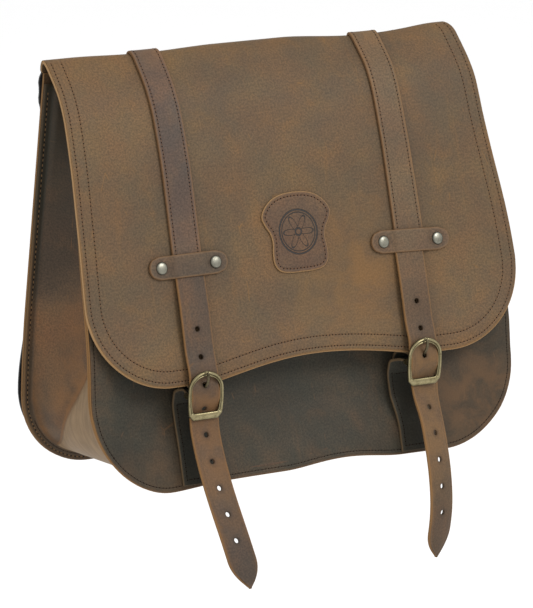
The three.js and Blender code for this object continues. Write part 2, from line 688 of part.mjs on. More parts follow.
add('back_panel', backPanel(), bodyLeather);
add('back_protector', backProtector(), blackBacking);
add('front_panel', frontPanel(), bodyLeather);
add('lid_hem', lidHem(), lidLeather);
add('lid', lid(), lidLeather);
add('badge', badge(), lidLeather);
for (const [sideName, side] of [['left', -1], ['right', 1]]) {
  const x = side * STRAP_X;
  const [tail, drift] = side < 0 ? [leftTail, 6] : [rightTail, 3];
  const shift = BUCKLE_SHIFT[sideName];
  const atBuckle = (geometry) => geometry.translate(shift[0], -shift[1], shift[2]);
  add(`gusset_${sideName}`, gusset(side), bodyLeather);
  add(`buckle_tab_${sideName}`, buckleTab(x, shift), tabLeather);
  add(`lid_strap_${sideName}`, lidStrap(x), lidLeather);
  add(`keeper_${sideName}`, keeper(x), lidLeather);
  add(`keeper_rivet_${sideName}_outer`, rivet(x + side * RIVET_SPACING / 2), brass);
  add(`keeper_rivet_${sideName}_inner`, rivet(x - side * RIVET_SPACING / 2), brass);
  add(`billet_${sideName}`, billet(x, shift, tail, drift), lidLeather);
  add(`buckle_tongue_${sideName}`, atBuckle(tongue(x)), tabLeather);
  add(`buckle_frame_${sideName}`, atBuckle(buckleFrame(x)), brass);
  add(`buckle_prong_${sideName}`, atBuckle(prong(x)), brass);
}

export default bag;
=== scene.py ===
# The looks of a leather motorcycle saddlebag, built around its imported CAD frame.
# Lengths in this script are millimetres until a mesh is made. "depth" is forward of the bag's
# rear face, so a point's y is minus its depth.
import math

import bpy
import numpy as np
from mathutils import Matrix, Vector


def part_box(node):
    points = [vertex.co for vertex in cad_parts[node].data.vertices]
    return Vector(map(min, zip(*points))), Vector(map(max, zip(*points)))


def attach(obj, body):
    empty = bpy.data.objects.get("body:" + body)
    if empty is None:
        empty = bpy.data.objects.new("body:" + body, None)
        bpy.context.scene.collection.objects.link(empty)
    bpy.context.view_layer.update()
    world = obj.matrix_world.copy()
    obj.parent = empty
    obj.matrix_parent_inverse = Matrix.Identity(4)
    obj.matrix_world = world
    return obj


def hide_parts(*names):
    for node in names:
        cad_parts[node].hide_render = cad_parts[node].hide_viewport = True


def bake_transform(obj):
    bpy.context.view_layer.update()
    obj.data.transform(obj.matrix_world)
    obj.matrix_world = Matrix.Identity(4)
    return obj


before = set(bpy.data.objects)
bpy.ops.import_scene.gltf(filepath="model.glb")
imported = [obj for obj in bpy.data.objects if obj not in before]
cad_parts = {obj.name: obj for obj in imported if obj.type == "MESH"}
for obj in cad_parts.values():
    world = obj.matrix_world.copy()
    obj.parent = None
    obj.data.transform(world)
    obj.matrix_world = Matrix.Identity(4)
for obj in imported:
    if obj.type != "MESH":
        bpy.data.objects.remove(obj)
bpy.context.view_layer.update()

MM = 0.001


def node_box(name):
    """A CAD node's low and high corners, in millimetres."""
    low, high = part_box(name)
    return np.array(low) / MM, np.array(high) / MM


# ------------------------------------------------------------------------------------------------
# Driving dimensions, from the frame where the frame has them
# ------------------------------------------------------------------------------------------------
TOP = node_box("lid_hem")[1][2]
BOTTOM_RISE = 2.7             # the leather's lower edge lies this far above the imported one
BOTTOM = node_box("front_panel")[0][2] + BOTTOM_RISE
HEM_BOTTOM = node_box("lid_hem")[0][2]
LID_HALF_TOP = node_box("lid_hem")[1][0]
LID_HALF_BOTTOM = node_box("lid")[1][0]
STRAP_X = sum(corner[0] for corner in node_box("keeper_right")) / 2
KEEPER_HALF = (node_box("keeper_right")[1][0] - node_box("keeper_right")[0][0]) / 2

LEATHER = 3.2                 # lid
PANEL_LEATHER = 3.0           # panels and gussets
STRAP_LEATHER = 2.6
LID_CORNER = 76.0
LID_DROP = 266.0              # from the top to the lowest edge of the lid
LID_SCOOP = 13.0
FRONT_CORNER = 76.0
BACK_CORNER = 65.0
BACK_HALF_TOP = 207.5
BACK_TAPER = 0.059
BACK_TOP = TOP - 11.5
FRONT_HALF_TOP = 197.5
FRONT_TAPER = 0.069
TAPER_EASE = 80.0             # over this last stretch above a corner the taper dies away
FRONT_TOP = TOP - 48
BACK_DEPTH = 2.8              # rear face of the back panel
STRAP_WIDTH = 28.0
TAB_WIDTH = 34.0
KEEPER_DROP = 168.0           # middle of the keepers, below the top
KEEPER_HEIGHT = 20.0
RIVET_SPACING = 52.5
HOLE_PITCH = 24.0
TAIL_HOLE_PITCH = 23.3
HOLE_RADIUS = 2.3
FRAME_OFFSET = 5.6            # from the bar forward to the middle of the buckle's frame
FRAME_HALF_DEPTH = 1.7
FRAME_HALF_HEIGHT = 21.2
BAR_RADIUS = 1.4
BAR_HALF = 15.9
TAB_TOP = TOP - 285           # the row of stitches where the tab leaves the front panel
SIDES = (("left", -1), ("right", 1))
STITCH_PITCH = 3.3


def bar_centre(side_name):
    """The middle of a buckle's bar, as x, depth and height."""
    low, high = node_box(f"buckle_frame_{side_name}")
    depth = -low[1] - FRAME_HALF_DEPTH - FRAME_OFFSET
    return np.array([(low[0] + high[0]) / 2, depth, (low[2] + high[2]) / 2])


BAR = {side_name: bar_centre(side_name) for side_name, side in SIDES}


# ------------------------------------------------------------------------------------------------
# Small helpers
# ------------------------------------------------------------------------------------------------
def smooth(t):
    t = np.clip(t, 0, 1)
    return t * t * (3 - 2 * t)


def bump(t):
    """1 at t = 0, falling smoothly to 0 at t = -1 and t = 1."""
    return np.where(np.abs(t) < 1, (1 - np.clip(np.abs(t), 0, 1) ** 2) ** 2, 0)


def unit(vectors):
    """Each vector at length 1."""
    return vectors / np.maximum(np.linalg.norm(vectors, axis=-1, keepdims=True), 1e-9)


def lengths_along(points):
    """How far along a path each of its points lies."""
    return np.r_[0, np.cumsum(np.linalg.norm(np.diff(points, axis=0), axis=1))]


def catmull(points, per_span=16):
    """A smooth curve through the points."""
    p = np.array(points, float)
    p = np.vstack([2 * p[0] - p[1], p, 2 * p[-1] - p[-2]])
    out = []
    for i in range(1, len(p) - 2):
        for t in np.linspace(0, 1, per_span, endpoint=False):
            out.append(0.5 * (2 * p[i] + (p[i + 1] - p[i - 1]) * t
                              + (2 * p[i - 1] - 5 * p[i] + 4 * p[i + 1] - p[i + 2]) * t * t
                              + (3 * p[i] - p[i - 1] - 3 * p[i + 1] + p[i + 2]) * t ** 3))
    return np.vstack(out + [p[-2]])


def radius_at(points, angles):
    """How far a closed outline lies from its middle at each angle."""
    polar = np.arctan2(points[:, 1], points[:, 0])
    size = np.hypot(points[:, 0], points[:, 1])
    order = np.argsort(polar)
    polar, size = polar[order], size[order]
    polar = np.r_[polar - 2 * math.pi, polar, polar + 2 * math.pi]
    return np.interp(angles, polar, np.tile(size, 3))


class Profile:
    """A side view curve of (depth, height) points, read by the length along it."""

    def __init__(self, *stretches):
        points = np.vstack(stretches)
        keep = np.r_[True, np.linalg.norm(np.diff(points, axis=0), axis=1) > 1e-6]
        self.points = points[keep]
        self.lengths = lengths_along(self.points)
        self.length = self.lengths[-1]

    def at(self, length):
        """Depth and height; a length past either end goes on in a straight line."""
        out = []
        for k in (0, 1):
            value = np.interp(length, self.lengths, self.points[:, k])
            first = self.points[1, k] - self.points[0, k]
            last = self.points[-1, k] - self.points[-2, k]
            value = value + np.minimum(length, 0) * first / (self.lengths[1] - self.lengths[0])
            value = value + np.maximum(length - self.length, 0) * last / (self.lengths[-1] - self.lengths[-2])
            out.append(value)
        return out

    def lifted(self, length, lift):
        """The point at a length, moved off the curve along its outward normal."""
        step = 0.6
        d0, z0 = self.at(length - step)
        d1, z1 = self.at(length + step)
        size = np.hypot(d1 - d0, z1 - z0)
        d, z = self.at(length)
        return d - (z1 - z0) / size * lift, z + (d1 - d0) / size * lift

    def length_at_height(self, z, after=0.0):
        index = np.nonzero((self.points[:, 1] <= z) & (self.lengths > after))[0][0]
        return float(np.interp(z, self.points[index - 1:index + 1, 1][::-1],
                               self.lengths[index - 1:index + 1][::-1]))


# ------------------------------------------------------------------------------------------------
# Materials
# ------------------------------------------------------------------------------------------------
STUDIO_LIGHT = 0.52           # how much darker leather is than it looks in this bright studio


def srgb(r, g, b, dim=STUDIO_LIGHT):
    """A colour given as it looks in the studio, 0 to 255, in the linear values that a shader takes."""
    out = []
    for value in (r, g, b):
        value /= 255
        out.append(dim * (value / 12.92 if value <= 0.04045 else ((value + 0.055) / 1.055) ** 2.4))
    return (*out, 1.0)


def darker(colour, red, green=None, blue=None):
    """A colour with each channel scaled, all alike where one share is given."""
    shares = (red, red if green is None else green, red if blue is None else blue)
    return (*(share * value for share, value in zip(shares, colour)), 1.0)


# the pale painted reflection of the white floor beside a gusset's fold
FLOOR_REFLECTION = srgb(172, 144, 110)


class Nodes:
    """Builds a material's node tree with short calls."""

    def __init__(self, name):
        self.material = bpy.data.materials.new(name)
        self.material.use_nodes = True
        self.tree = self.material.node_tree
        self.shader = self.tree.nodes["Principled BSDF"]

    def add(self, kind, inputs=None, **settings):
        node = self.tree.nodes.new(kind)
        for key, value in settings.items():
            setattr(node, key, value)
        for key, value in (inputs or {}).items():
            self.give(node.inputs[key], value)
        return node

    def give(self, socket, value):
        if isinstance(value, bpy.types.NodeSocket):
            self.tree.links.new(value, socket)
        else:
            socket.default_value = value

    def math(self, operation, a, b=0.0, clamp=False):
        node = self.add("ShaderNodeMath", operation=operation, use_clamp=clamp)
        self.give(node.inputs[0], a)
        self.give(node.inputs[1], b)
        return node.outputs[0]

    def times(self, a, b, clamp=False):
        return self.math("MULTIPLY", a, b, clamp)

    def plus(self, a, b, clamp=False):
        return self.math("ADD", a, b, clamp)

    def minus(self, a, b):
        return self.math("SUBTRACT", a, b)

    def inverse(self, a):
        return self.minus(1.0, a)

    def mix(self, factor, a, b, blend="MIX"):
        node = self.add("ShaderNodeMix", data_type="RGBA", blend_type=blend)
        self.give(node.inputs[0], factor)
        self.give(node.inputs[6], a)
        self.give(node.inputs[7], b)
        return node.outputs[2]

    def ramp(self, value, low, high):
        node = self.add("ShaderNodeMapRange", {"Value": value, "From Min": low, "From Max": high},
                        interpolation_type="SMOOTHSTEP")
        return node.outputs[0]

    def noise(self, vector, scale, detail=3.0, roughness=0.55, distortion=0.0):
        node = self.add("ShaderNodeTexNoise", {"Vector": vector, "Scale": scale, "Detail": detail,
                                               "Roughness": roughness, "Distortion": distortion})
        return node.outputs[0]

    def attribute(self, name):
        return self.add("ShaderNodeAttribute", attribute_name=name).outputs["Fac"]

    def flat(self, stretch=(1, 1, 1), shift=(0, 0, 0)):
        """The place on the flat leather, in metres, as the UV map holds it."""
        uv = self.add("ShaderNodeUVMap", uv_map="flat").outputs[0]
        return self.add("ShaderNodeMapping", {"Vector": uv, "Scale": stretch, "Location": shift}).outputs[0]

    def bumped(self, height, distance, strength=1.0, normal=None):
        node = self.add("ShaderNodeBump", {"Height": height, "Distance": distance, "Strength": strength})
        if normal is not None:
            self.give(node.inputs["Normal"], normal)
        return node.outputs[0]

    def finish(self, **values):
        for key, value in values.items():
            self.give(self.shader.inputs[key.replace("_", " ")], value)
        return self.material


def waxy_colour(n, flat, patch, dark, middle, light):
    """Waxy mottling: clouds, streaks and patches of the lighter tones, warmer here and there, and flecked."""
    cloud = n.noise(flat, 9.0, 4.0, 0.6, 0.6)
    fleck = n.noise(flat, 560.0, 3.0, 0.75)
    warmth = n.noise(n.flat(shift=(5.3, 9.1, 0)), 21.0, 3.0, 0.6)
    streak = n.noise(n.flat(stretch=(60, 9, 1)), 1.0, 3.0, 0.6)
    tone = n.plus(n.times(cloud, 0.75), n.times(patch, 0.25))
    colour = n.mix(n.ramp(tone, 0.32, 0.66), dark, middle)
    lighter_parts = ((cloud, 0.5, 0.78, 0.4), (streak, 0.56, 0.78, 0.25), (patch, 0.5, 0.72, 0.14))
    for pattern, low, high, amount in lighter_parts:
        colour = n.mix(n.times(n.ramp(pattern, low, high), amount), colour, light)
    cooler, warmer = (0.955, 1.0, 1.025, 1), (1.05, 0.99, 0.97, 1)
    colour = n.mix(1.0, colour, n.mix(n.ramp(warmth, 0.36, 0.64), cooler, warmer), "MULTIPLY")
    fleck_dark, fleck_light = (0.7, 0.71, 0.73, 1), (1.26, 1.22, 1.2, 1)
    return n.mix(1.0, colour, n.mix(n.ramp(fleck, 0.32, 0.68), fleck_dark, fleck_light), "MULTIPLY")


def scratched(n, colour, light):
    """Thin pale scratches: the borders of large cells, kept only in a few places."""
    cells = n.add("ShaderNodeTexVoronoi", {"Vector": n.flat(stretch=(1, 0.35, 1)), "Scale": 26.0},
                  feature="DISTANCE_TO_EDGE").outputs["Distance"]
    where = n.ramp(n.noise(n.flat(shift=(7, 2, 0)), 48.0, 1.0), 0.62, 0.68)
    scratch = n.times(n.inverse(n.ramp(cells, 0.0, 0.012)), where)
    return n.mix(n.times(scratch, 0.5), colour, light)


def worn_and_lit(n, flat, patch, margin, colour, light):
    """Lighter in from its edges by an uneven rubbed line, and in patches where wear says so: rubbed wear on
    some pieces, painted light on others.
    """
    rub_noise = n.noise(flat, 170.0, 4.0, 0.65)
    rubbed = n.inverse(n.ramp(n.plus(margin, n.times(rub_noise, 2.4)), 1.0, 3.4))
    colour = n.mix(n.times(rubbed, 0.55), colour, light)
    patchy = n.plus(n.times(n.ramp(patch, 0.38, 0.62), 0.8), 0.45)
    # lighter where wear says so: rubbed wear, and painted light on the front panel and gussets
    return n.mix(n.times(n.attribute("wear"), patchy, clamp=True), colour, light)


def crease_and_reflection(n, patch, colour, light):
    """A wrinkled pale band of painted floor reflection on one side of a fold, and a light line along it,
    where fold_here says so.
    """
    fold, fold_here = n.attribute("fold"), n.attribute("fold_here")
    # painted reflection of the floor on one side of the fold
    reflecting_side = n.times(n.ramp(fold, 0.5, 5.0), fold_here)
    reflecting_side = n.times(reflecting_side, n.plus(n.times(patch, 0.5), 0.68), clamp=True)
    wrinkle = n.noise(n.flat(stretch=(260, 40, 1)), 1.0, 3.0, 0.6)
    streaked = n.mix(n.ramp(wrinkle, 0.3, 0.7), darker(FLOOR_REFLECTION, 0.72), FLOOR_REFLECTION)
    colour = n.mix(reflecting_side, colour, streaked)
    crease = n.inverse(n.ramp(n.math("ABSOLUTE", fold), 0.2, 2.6))
    return n.mix(n.times(crease, n.times(fold_here, 0.5)), colour, light)


def stitch_groove(n, margin, rim):
    """1 along the lines that the rows of stitches have pressed into the leather, 0 away from them."""
    sunk = 0.0
    for row in ("row_a", "row_b"):
        off = n.math("ABSOLUTE", n.minus(margin, n.attribute(row)))
        sunk = n.plus(sunk, n.inverse(n.ramp(off, 0.3, 1.5)))
    return n.times(sunk, n.inverse(rim))


def leather(name, dark, middle, light, cut_edge, rosette=None, shadow=None):
    """Oiled pull-up leather: waxy mottling, fine grain, rubbed edges, scratches and a raw cut edge, with
    painted shade, painted light and a painted floor reflection where its attributes say so.
    """
    n = Nodes(name)
    flat = n.flat()
    patch = n.noise(n.flat(shift=(3.1, 1.7, 0)), 34.0, 4.0, 0.62, 0.4)
    margin, rim = n.attribute("margin"), n.attribute("rim")
    colour = waxy_colour(n, flat, patch, dark, middle, light)
    colour = scratched(n, colour, light)
    colour = worn_and_lit(n, flat, patch, margin, colour, light)
    colour = crease_and_reflection(n, patch, colour, light)
    fibre = n.noise(flat, 900.0, 2.0, 0.7)
    cut = n.mix(n.times(fibre, 0.6), cut_edge, darker(cut_edge, 0.45, 0.42, 0.38))
    colour = n.mix(rim, colour, cut)
    colour = n.mix(n.attribute("shade"), colour, shadow or darker(dark, 0.5))
    grain = n.add("ShaderNodeTexVoronoi", {"Vector": flat, "Scale": 760.0}, feature="F1").outputs["Distance"]
    surface = n.plus(n.times(grain, 0.35), n.times(n.noise(flat, 300.0, 4.0), 0.65))
    normal = n.bumped(surface, 0.00022, 0.5)
    sunk = stitch_groove(n, margin, rim)
    colour = n.mix(n.times(sunk, 0.1), colour, dark)
    normal = n.bumped(n.inverse(sunk), 0.0005, 0.35, normal)
    if rosette is not None:
        mark = stamp(n, *rosette)
        colour = n.mix(n.times(mark, 0.85), colour, srgb(52, 56, 58))
        normal = n.bumped(n.inverse(mark), 0.0007, 0.9, normal)
    shine = n.plus(n.times(patch, 0.16), 0.48)
    shine = n.plus(shine, n.times(rim, 0.25), clamp=True)
    return n.finish(Base_Color=colour, Roughness=shine, Normal=normal, Specular_IOR_Level=0.16)


def stamp(n, centre, radius):
    """A plain six-petalled rosette in a ring, as lines: 1 on a line and 0 beside it."""
    place = n.add("ShaderNodeSeparateXYZ", {"Vector": n.flat(shift=(-centre[0] * MM, -centre[1] * MM, 0))})
    x, y = place.outputs[0], place.outputs[1]
    distance = n.math("SQRT", n.plus(n.times(x, x), n.times(y, y)))
    angle = n.math("ARCTAN2", y, x)
    petals = n.plus(n.times(n.math("COSINE", n.times(angle, 6.0)), 0.27), 0.52)
    lines = []
    for edge, width in ((petals, 0.8), (1.0, 0.9), (0.88, 0.5), (0.16, 0.9)):
        target = n.times(edge, radius * MM)
        off = n.math("ABSOLUTE", n.minus(distance, target))
        lines.append(n.inverse(n.ramp(off, width * 0.5 * MM, width * 1.1 * MM)))
    mark = lines[0]
    for line in lines[1:]:
        mark = n.math("MAXIMUM", mark, line)
    return mark


def metal(name, bright, dull, roughness):
    """Antique brass: rubbed bright on the high places and rougher where dull, with painted shade, dark brown,
    in the recesses and on the sides of its rounds.
    """
    n = Nodes(name)
    place = n.add("ShaderNodeTexCoord").outputs["Object"]
    patch = n.noise(place, 160.0, 4.0, 0.65)
    fine = n.noise(place, 1400.0, 2.0, 0.6)
    recess_shade = n.attribute("recess_shade")
    tone = n.ramp(n.plus(n.times(patch, 0.7), n.times(fine, 0.3)), 0.25, 0.6)
    colour = n.mix(tone, dull, bright)
    # painted shade where recess_shade says so
    colour = n.mix(n.times(recess_shade, 0.8), colour, darker(dull, 0.16, 0.15, 0.13))
    shine = n.plus(n.times(n.inverse(tone), 0.2), roughness)
    normal = n.bumped(fine, 0.00006, 0.35)
    return n.finish(Base_Color=colour, Roughness=shine, Normal=normal, Metallic=1.0)


def thread(name, colour, shadow):
    n = Nodes(name)
    place = n.add("ShaderNodeTexCoord").outputs["Object"]
    tone = n.noise(place, 900.0, 2.0, 0.6)
    return n.finish(Base_Color=n.mix(tone, colour, shadow), Roughness=0.8, Specular_IOR_Level=0.05,
                    Normal=n.bumped(n.noise(place, 3000.0, 1.0), 0.0001, 0.5))


def black_sheet(name):
    n = Nodes(name)
    flat = n.flat()
    tone = n.noise(flat, 60.0, 4.0, 0.6)
    colour = n.mix(tone, srgb(20, 21, 22), srgb(38, 40, 42))
    pebble = n.add("ShaderNodeTexVoronoi", {"Vector": flat, "Scale": 520.0}, feature="F1").outputs["Distance"]
    return n.finish(Base_Color=colour, Roughness=n.plus(n.times(tone, 0.2), 0.28),
                    Normal=n.bumped(pebble, 0.0003, 0.4))


TAN_EDGE = srgb(210, 168, 118)
STRAP_EDGE = srgb(146, 110, 76)
BILLET_EDGE = srgb(178, 134, 86)
BODY_EDGE = srgb(172, 128, 78)
LID_LEATHER = leather("lid_leather", srgb(107, 89, 68), srgb(126, 101, 71), srgb(156, 114, 64), TAN_EDGE)
# the right-hand strap and billet copies are painted lighter and warmer than the left: painted light on the
# bag's right side
STRAP_LOOK = {
    "left": leather("strap_leather", srgb(98, 84, 74), srgb(118, 97, 80), srgb(152, 114, 78), STRAP_EDGE),
    "right": leather("right_strap_leather", srgb(114, 95, 74), srgb(134, 109, 80), srgb(160, 120, 78),
                     STRAP_EDGE),
}
BILLET_LOOK = {
    "left": leather("billet_leather", srgb(84, 72, 61), srgb(104, 86, 70), srgb(142, 102, 62), BILLET_EDGE),
    "right": leather("right_billet_leather", srgb(99, 81, 63), srgb(119, 96, 72), srgb(146, 109, 69),
                     BILLET_EDGE),
}
KEEPER_LEATHER = leather("keeper_leather", srgb(98, 83, 69), srgb(114, 95, 75), srgb(142, 112, 80),
                         STRAP_EDGE)
BADGE_LEATHER = leather("badge_leather", srgb(104, 83, 66), srgb(120, 94, 72), srgb(148, 112, 74), TAN_EDGE,
                        rosette=((0, 0), 19))
BODY_LEATHER = leather("body_leather", srgb(72, 60, 47), srgb(92, 74, 56), srgb(124, 96, 64),
                       srgb(158, 120, 78))
# the front panel's colours: its darker leather with the lid's shade painted in
FRONT_LEATHER_IN_LID_SHADE = leather("front_leather_in_lid_shade", srgb(61, 59, 50), srgb(77, 71, 58), srgb(120, 90, 62), BODY_EDGE)
GUSSET_LEATHER = leather("gusset_leather", srgb(88, 71, 55), srgb(114, 91, 69), srgb(156, 110, 66), BODY_EDGE,
                         shadow=srgb(53, 54, 45))
TAB_LEATHER = leather("tab_leather", srgb(57, 56, 48), srgb(69, 67, 57), srgb(86, 76, 60), srgb(124, 102, 74))
LID_THREAD = thread("lid_thread", srgb(134, 92, 62), srgb(96, 64, 44))
PALE_THREAD = thread("pale_thread", srgb(176, 138, 96), srgb(120, 88, 60))
DARK_THREAD = thread("dark_thread", srgb(58, 46, 36), srgb(38, 30, 25))
# painted shade: the near-black beads that stand for the needle holes
NEEDLE_HOLE_SHADE = thread("needle_hole_shade", srgb(40, 22, 15), srgb(20, 11, 8))
BRASS = metal("antique_brass", srgb(144, 134, 102, 1), srgb(94, 85, 60, 1), 0.28)
RIVET_METAL = metal("rivet_metal", srgb(134, 132, 120, 1), srgb(94, 91, 80, 1), 0.32)
PRONG_METAL = metal("prong_metal", srgb(96, 88, 68, 1), srgb(52, 46, 34, 1), 0.38)
BLACK_SHEET = black_sheet("black_sheet")


# ------------------------------------------------------------------------------------------------
# Mesh building
# ------------------------------------------------------------------------------------------------
def make_object(name, vertices, faces, materials, face_materials=None, flat=None, values=None):
    """A smooth mesh object from points in millimetres as (x, depth, height)."""
    points = np.asarray(vertices, float) * MM
    points = points * np.array([1, -1, 1])
    mesh = bpy.data.meshes.new(name)
    mesh.from_pydata(points.tolist(), [], [list(f) for f in faces])
    for material in materials:
        mesh.materials.append(material)
    if face_materials is not None:
        mesh.polygons.foreach_set("material_index", np.asarray(face_materials, np.int32))
    mesh.polygons.foreach_set("use_smooth", np.ones(len(mesh.polygons), bool))
    if flat is not None:
        loops = np.zeros(len(mesh.loops), np.int32)
        mesh.loops.foreach_get("vertex_index", loops)
        layer = mesh.uv_layers.new(name="flat")
        layer.data.foreach_set("uv", (np.asarray(flat, float) * MM)[loops].astype(np.float32).ravel())
    for key, value in (values or {}).items():
        attribute = mesh.attributes.new(key, "FLOAT", "POINT")
        attribute.data.foreach_set("value", np.asarray(value, np.float32))
    mesh.validate()
    mesh.update()
    obj = bpy.data.objects.new(name, mesh)
    bpy.context.scene.collection.objects.link(obj)
    return outward(obj)


def outward(obj):
    """Turns a closed mesh's faces outwards, by the sign of its volume."""
    mesh = obj.data
    mesh.calc_loop_triangles()
    co = np.zeros(len(mesh.vertices) * 3)
    mesh.vertices.foreach_get("co", co)
    co = co.reshape(-1, 3)
    tri = np.zeros(len(mesh.loop_triangles) * 3, np.int32)
    mesh.loop_triangles.foreach_get("vertices", tri)
    a, b, c = (co[tri.reshape(-1, 3)[:, k]] for k in range(3))
    if np.einsum("ij,ij->i", a, np.cross(b, c)).sum() < 0:
        mesh.flip_normals()
    return obj


def distance_to_path(points, path):
    """How far each flat point is from a closed flat path."""
    a = np.asarray(path, float)
    b = np.roll(a, -1, axis=0)
    best = np.full(len(points), 1e9)
    for i in range(len(a)):
        ab = b[i] - a[i]
        # Across the frame from its inner edge to its outer: share of the way, front height, how much painted
        # shade it takes.
        size = max(float(ab @ ab), 1e-9)
        t = np.clip(((points - a[i]) @ ab) / size, 0, 1)
        best = np.minimum(best, np.linalg.norm(points - a[i] - t[:, None] * ab, axis=1))
    return best


NO_ROW = -99                  # so far off the leather that no groove is drawn
# The brass frame: its section carried round the bar's middle, with a round bottom bar and a notch, and
# painted shade in its valley, on its edges, on the bottom bar's sides and in the notch.


class Sheet:
    """A piece of leather: a flat cut shape, laid on a surface, with thickness and a rounded raw edge.

    place(x, length, lift) gives the point for a flat place, lifted off the middle of the leather.
    x and length are grids over the flat shape, row by row."""

    def __init__(self, name, x, length, place, thickness, holes=()):
        self.name, self.place, self.thickness = name, place, thickness
        # painted shade on the round bottom bar's front and back
        self.flat = np.stack([x, length], -1).astype(float)
        self.rows, self.columns = x.shape
        self.holes = list(holes)

    def border(self):
        """Grid places round the edge, in order."""
        r, c = self.rows, self.columns
        loop = [(0, j) for j in range(c)] + [(i, c - 1) for i in range(1, r)]
        loop += [(r - 1, j) for j in range(c - 2, -1, -1)] + [(i, 0) for i in range(r - 2, 0, -1)]
        return loop

    def cut_out(self):
        """The grid squares that the blocks round the holes take up."""
        return {(i, j) for hole in self.holes for i in range(*hole["rows"]) for j in range(*hole["columns"])}

    def edge_ways(self, edge_flat):
        """Round the edge in space: the leather's middle, the way up from it and the way outwards."""
        middle = self.place(edge_flat[:, 0], edge_flat[:, 1], np.zeros(len(edge_flat)))
        normal = unit(self.place(edge_flat[:, 0], edge_flat[:, 1], np.ones(len(edge_flat))) - middle)
        tangent = np.roll(middle, -1, axis=0) - np.roll(middle, 1, axis=0)
        way_out = unit(np.cross(tangent, normal))
        x, length = self.flat[self.rows // 2, self.columns // 2]
        centre = self.place(np.array([x]), np.array([length]), np.zeros(1))[0]
        if np.einsum("ij,ij->i", way_out, middle - centre).sum() < 0:
            way_out = -way_out
        return middle, normal, way_out

    def build(self, materials, rows=(NO_ROW, NO_ROW), round_by=0.7, offset=(0, 0), **marks):
        """rows are the stitch rows' distances from the edge. offset moves the piece about its texture.

        marks are functions of the flat place: wear (rubbed wear and painted light), shade (painted shade),
        fold and fold_here, each 0 where left out."""
        half = self.thickness / 2
        r = min(round_by, half)
        border = self.border()
        edge_flat = np.array([self.flat[p] for p in border])
        middle, normal, outward_3d = self.edge_ways(edge_flat)
        flat_tangent = np.roll(edge_flat, -1, axis=0) - np.roll(edge_flat, 1, axis=0)
        flat_out = unit(np.stack([flat_tangent[:, 1], -flat_tangent[:, 0]], 1))
        if np.einsum("ij,ij->i", flat_out, edge_flat - edge_flat.mean(0)).sum() < 0:
            flat_out = -flat_out

        vertices, flats, rims, faces = [], [], [], []

        def emit(points, flat_places, rim):
            start = sum(len(v) for v in vertices)
            vertices.append(np.asarray(points, float))
            flats.append(np.asarray(flat_places, float))
            rims.append(np.full(len(points), rim, float))
            return start

        blocked = self.cut_out()
        grid = self.flat.reshape(-1, 2)
        face_start = {}
        for side in (1, -1):
            points = self.place(grid[:, 0], grid[:, 1], np.full(len(grid), side * half))
            for k, (i, j) in enumerate(border):
                points[i * self.columns + j] -= outward_3d[k] * r
            face_start[side] = emit(points, grid, 0.0)
            for i in range(self.rows - 1):
                for j in range(self.columns - 1):
                    if (i, j) in blocked:
                        continue
                    a = face_start[side] + i * self.columns + j
                    quad = (a, a + 1, a + 1 + self.columns, a + self.columns)
                    faces.append(quad if side > 0 else quad[::-1])
        loops = [[face_start[1] + i * self.columns + j for i, j in border]]
        angle = math.radians(45)
        for out, up in ((-r + r * math.cos(angle), half - r + r * math.sin(angle)), (0, half - r),
                        (0, -half + r), (-r + r * math.cos(angle), -half + r - r * math.sin(angle))):
            start = emit(middle + outward_3d * out + normal * up, edge_flat + flat_out * (half - up), 1.0)
            loops.append(list(range(start, start + len(border))))
        loops.append([face_start[-1] + i * self.columns + j for i, j in border])
        for first, second in zip(loops, loops[1:]):
            for k in range(len(border)):
                nxt = (k + 1) % len(border)
                faces.append((first[k], second[k], second[nxt], first[nxt]))
        for hole in self.holes:
            self.hole_walls(hole, face_start, half, emit, faces)

        vertices, flats, rims = np.vstack(vertices), np.vstack(flats), np.concatenate(rims)
        used = np.zeros(len(vertices), bool)
        for face in faces:
            used[list(face)] = True
        number = np.cumsum(used) - 1
        faces = [[int(number[v]) for v in face] for face in faces]
        margin = distance_to_path(flats, edge_flat)
        margin = np.where(rims > 0.5, 0, margin)
        values = {
            "margin": margin[used],
            "rim": rims[used],
            "row_a": np.full(used.sum(), float(rows[0])),
            "row_b": np.full(used.sum(), float(rows[1])),
        }
        for mark in ("wear", "shade", "fold", "fold_here"):
            amount = marks[mark](flats[:, 0], flats[:, 1]) if mark in marks else 0
            values[mark] = (np.zeros(len(flats)) + amount)[used]
        return make_object(self.name, vertices[used], faces, materials,
                           flat=(flats + np.array(offset))[used], values=values)

    def hole_walls(self, hole, face_start, half, emit, faces):
        """Rings from a block of the grid in to a punched hole, and the wall through the leather."""
        (i0, i1), (j0, j1) = hole["rows"], hole["columns"]
        loop = [(i0, j) for j in range(j0, j1)] + [(i, j1) for i in range(i0, i1)]
        loop += [(i1, j) for j in range(j1, j0, -1)] + [(i, j0) for i in range(i1, i0, -1)]
        block = np.array([self.flat[p] for p in loop])
        centre = np.array(hole["centre"], float)
        ray = block - centre
        size = np.linalg.norm(ray, axis=1)
        half_x, half_y = hole["half"]
        unit = ray / size[:, None]
        reach = 1 / np.sqrt((unit[:, 0] / half_x) ** 2 + (unit[:, 1] / half_y) ** 2)
        rings = []
        down_the_wall = ((0.9, half), (0.35, half), (0, half - 0.4),
                         (0, -half + 0.4), (0.35, -half), (0.9, -half))
        for grow, lift in down_the_wall:
            spot = centre + unit * (reach + grow)[:, None]
            start = emit(self.place(spot[:, 0], spot[:, 1], np.full(len(spot), lift)), spot, 0.0)
            rings.append(list(range(start, start + len(loop))))
        top = [face_start[1] + i * self.columns + j for i, j in loop]
        low = [face_start[-1] + i * self.columns + j for i, j in loop]
        chain = [top] + rings + [low]
        for first, second in zip(chain, chain[1:]):
            faces += band(first, second)


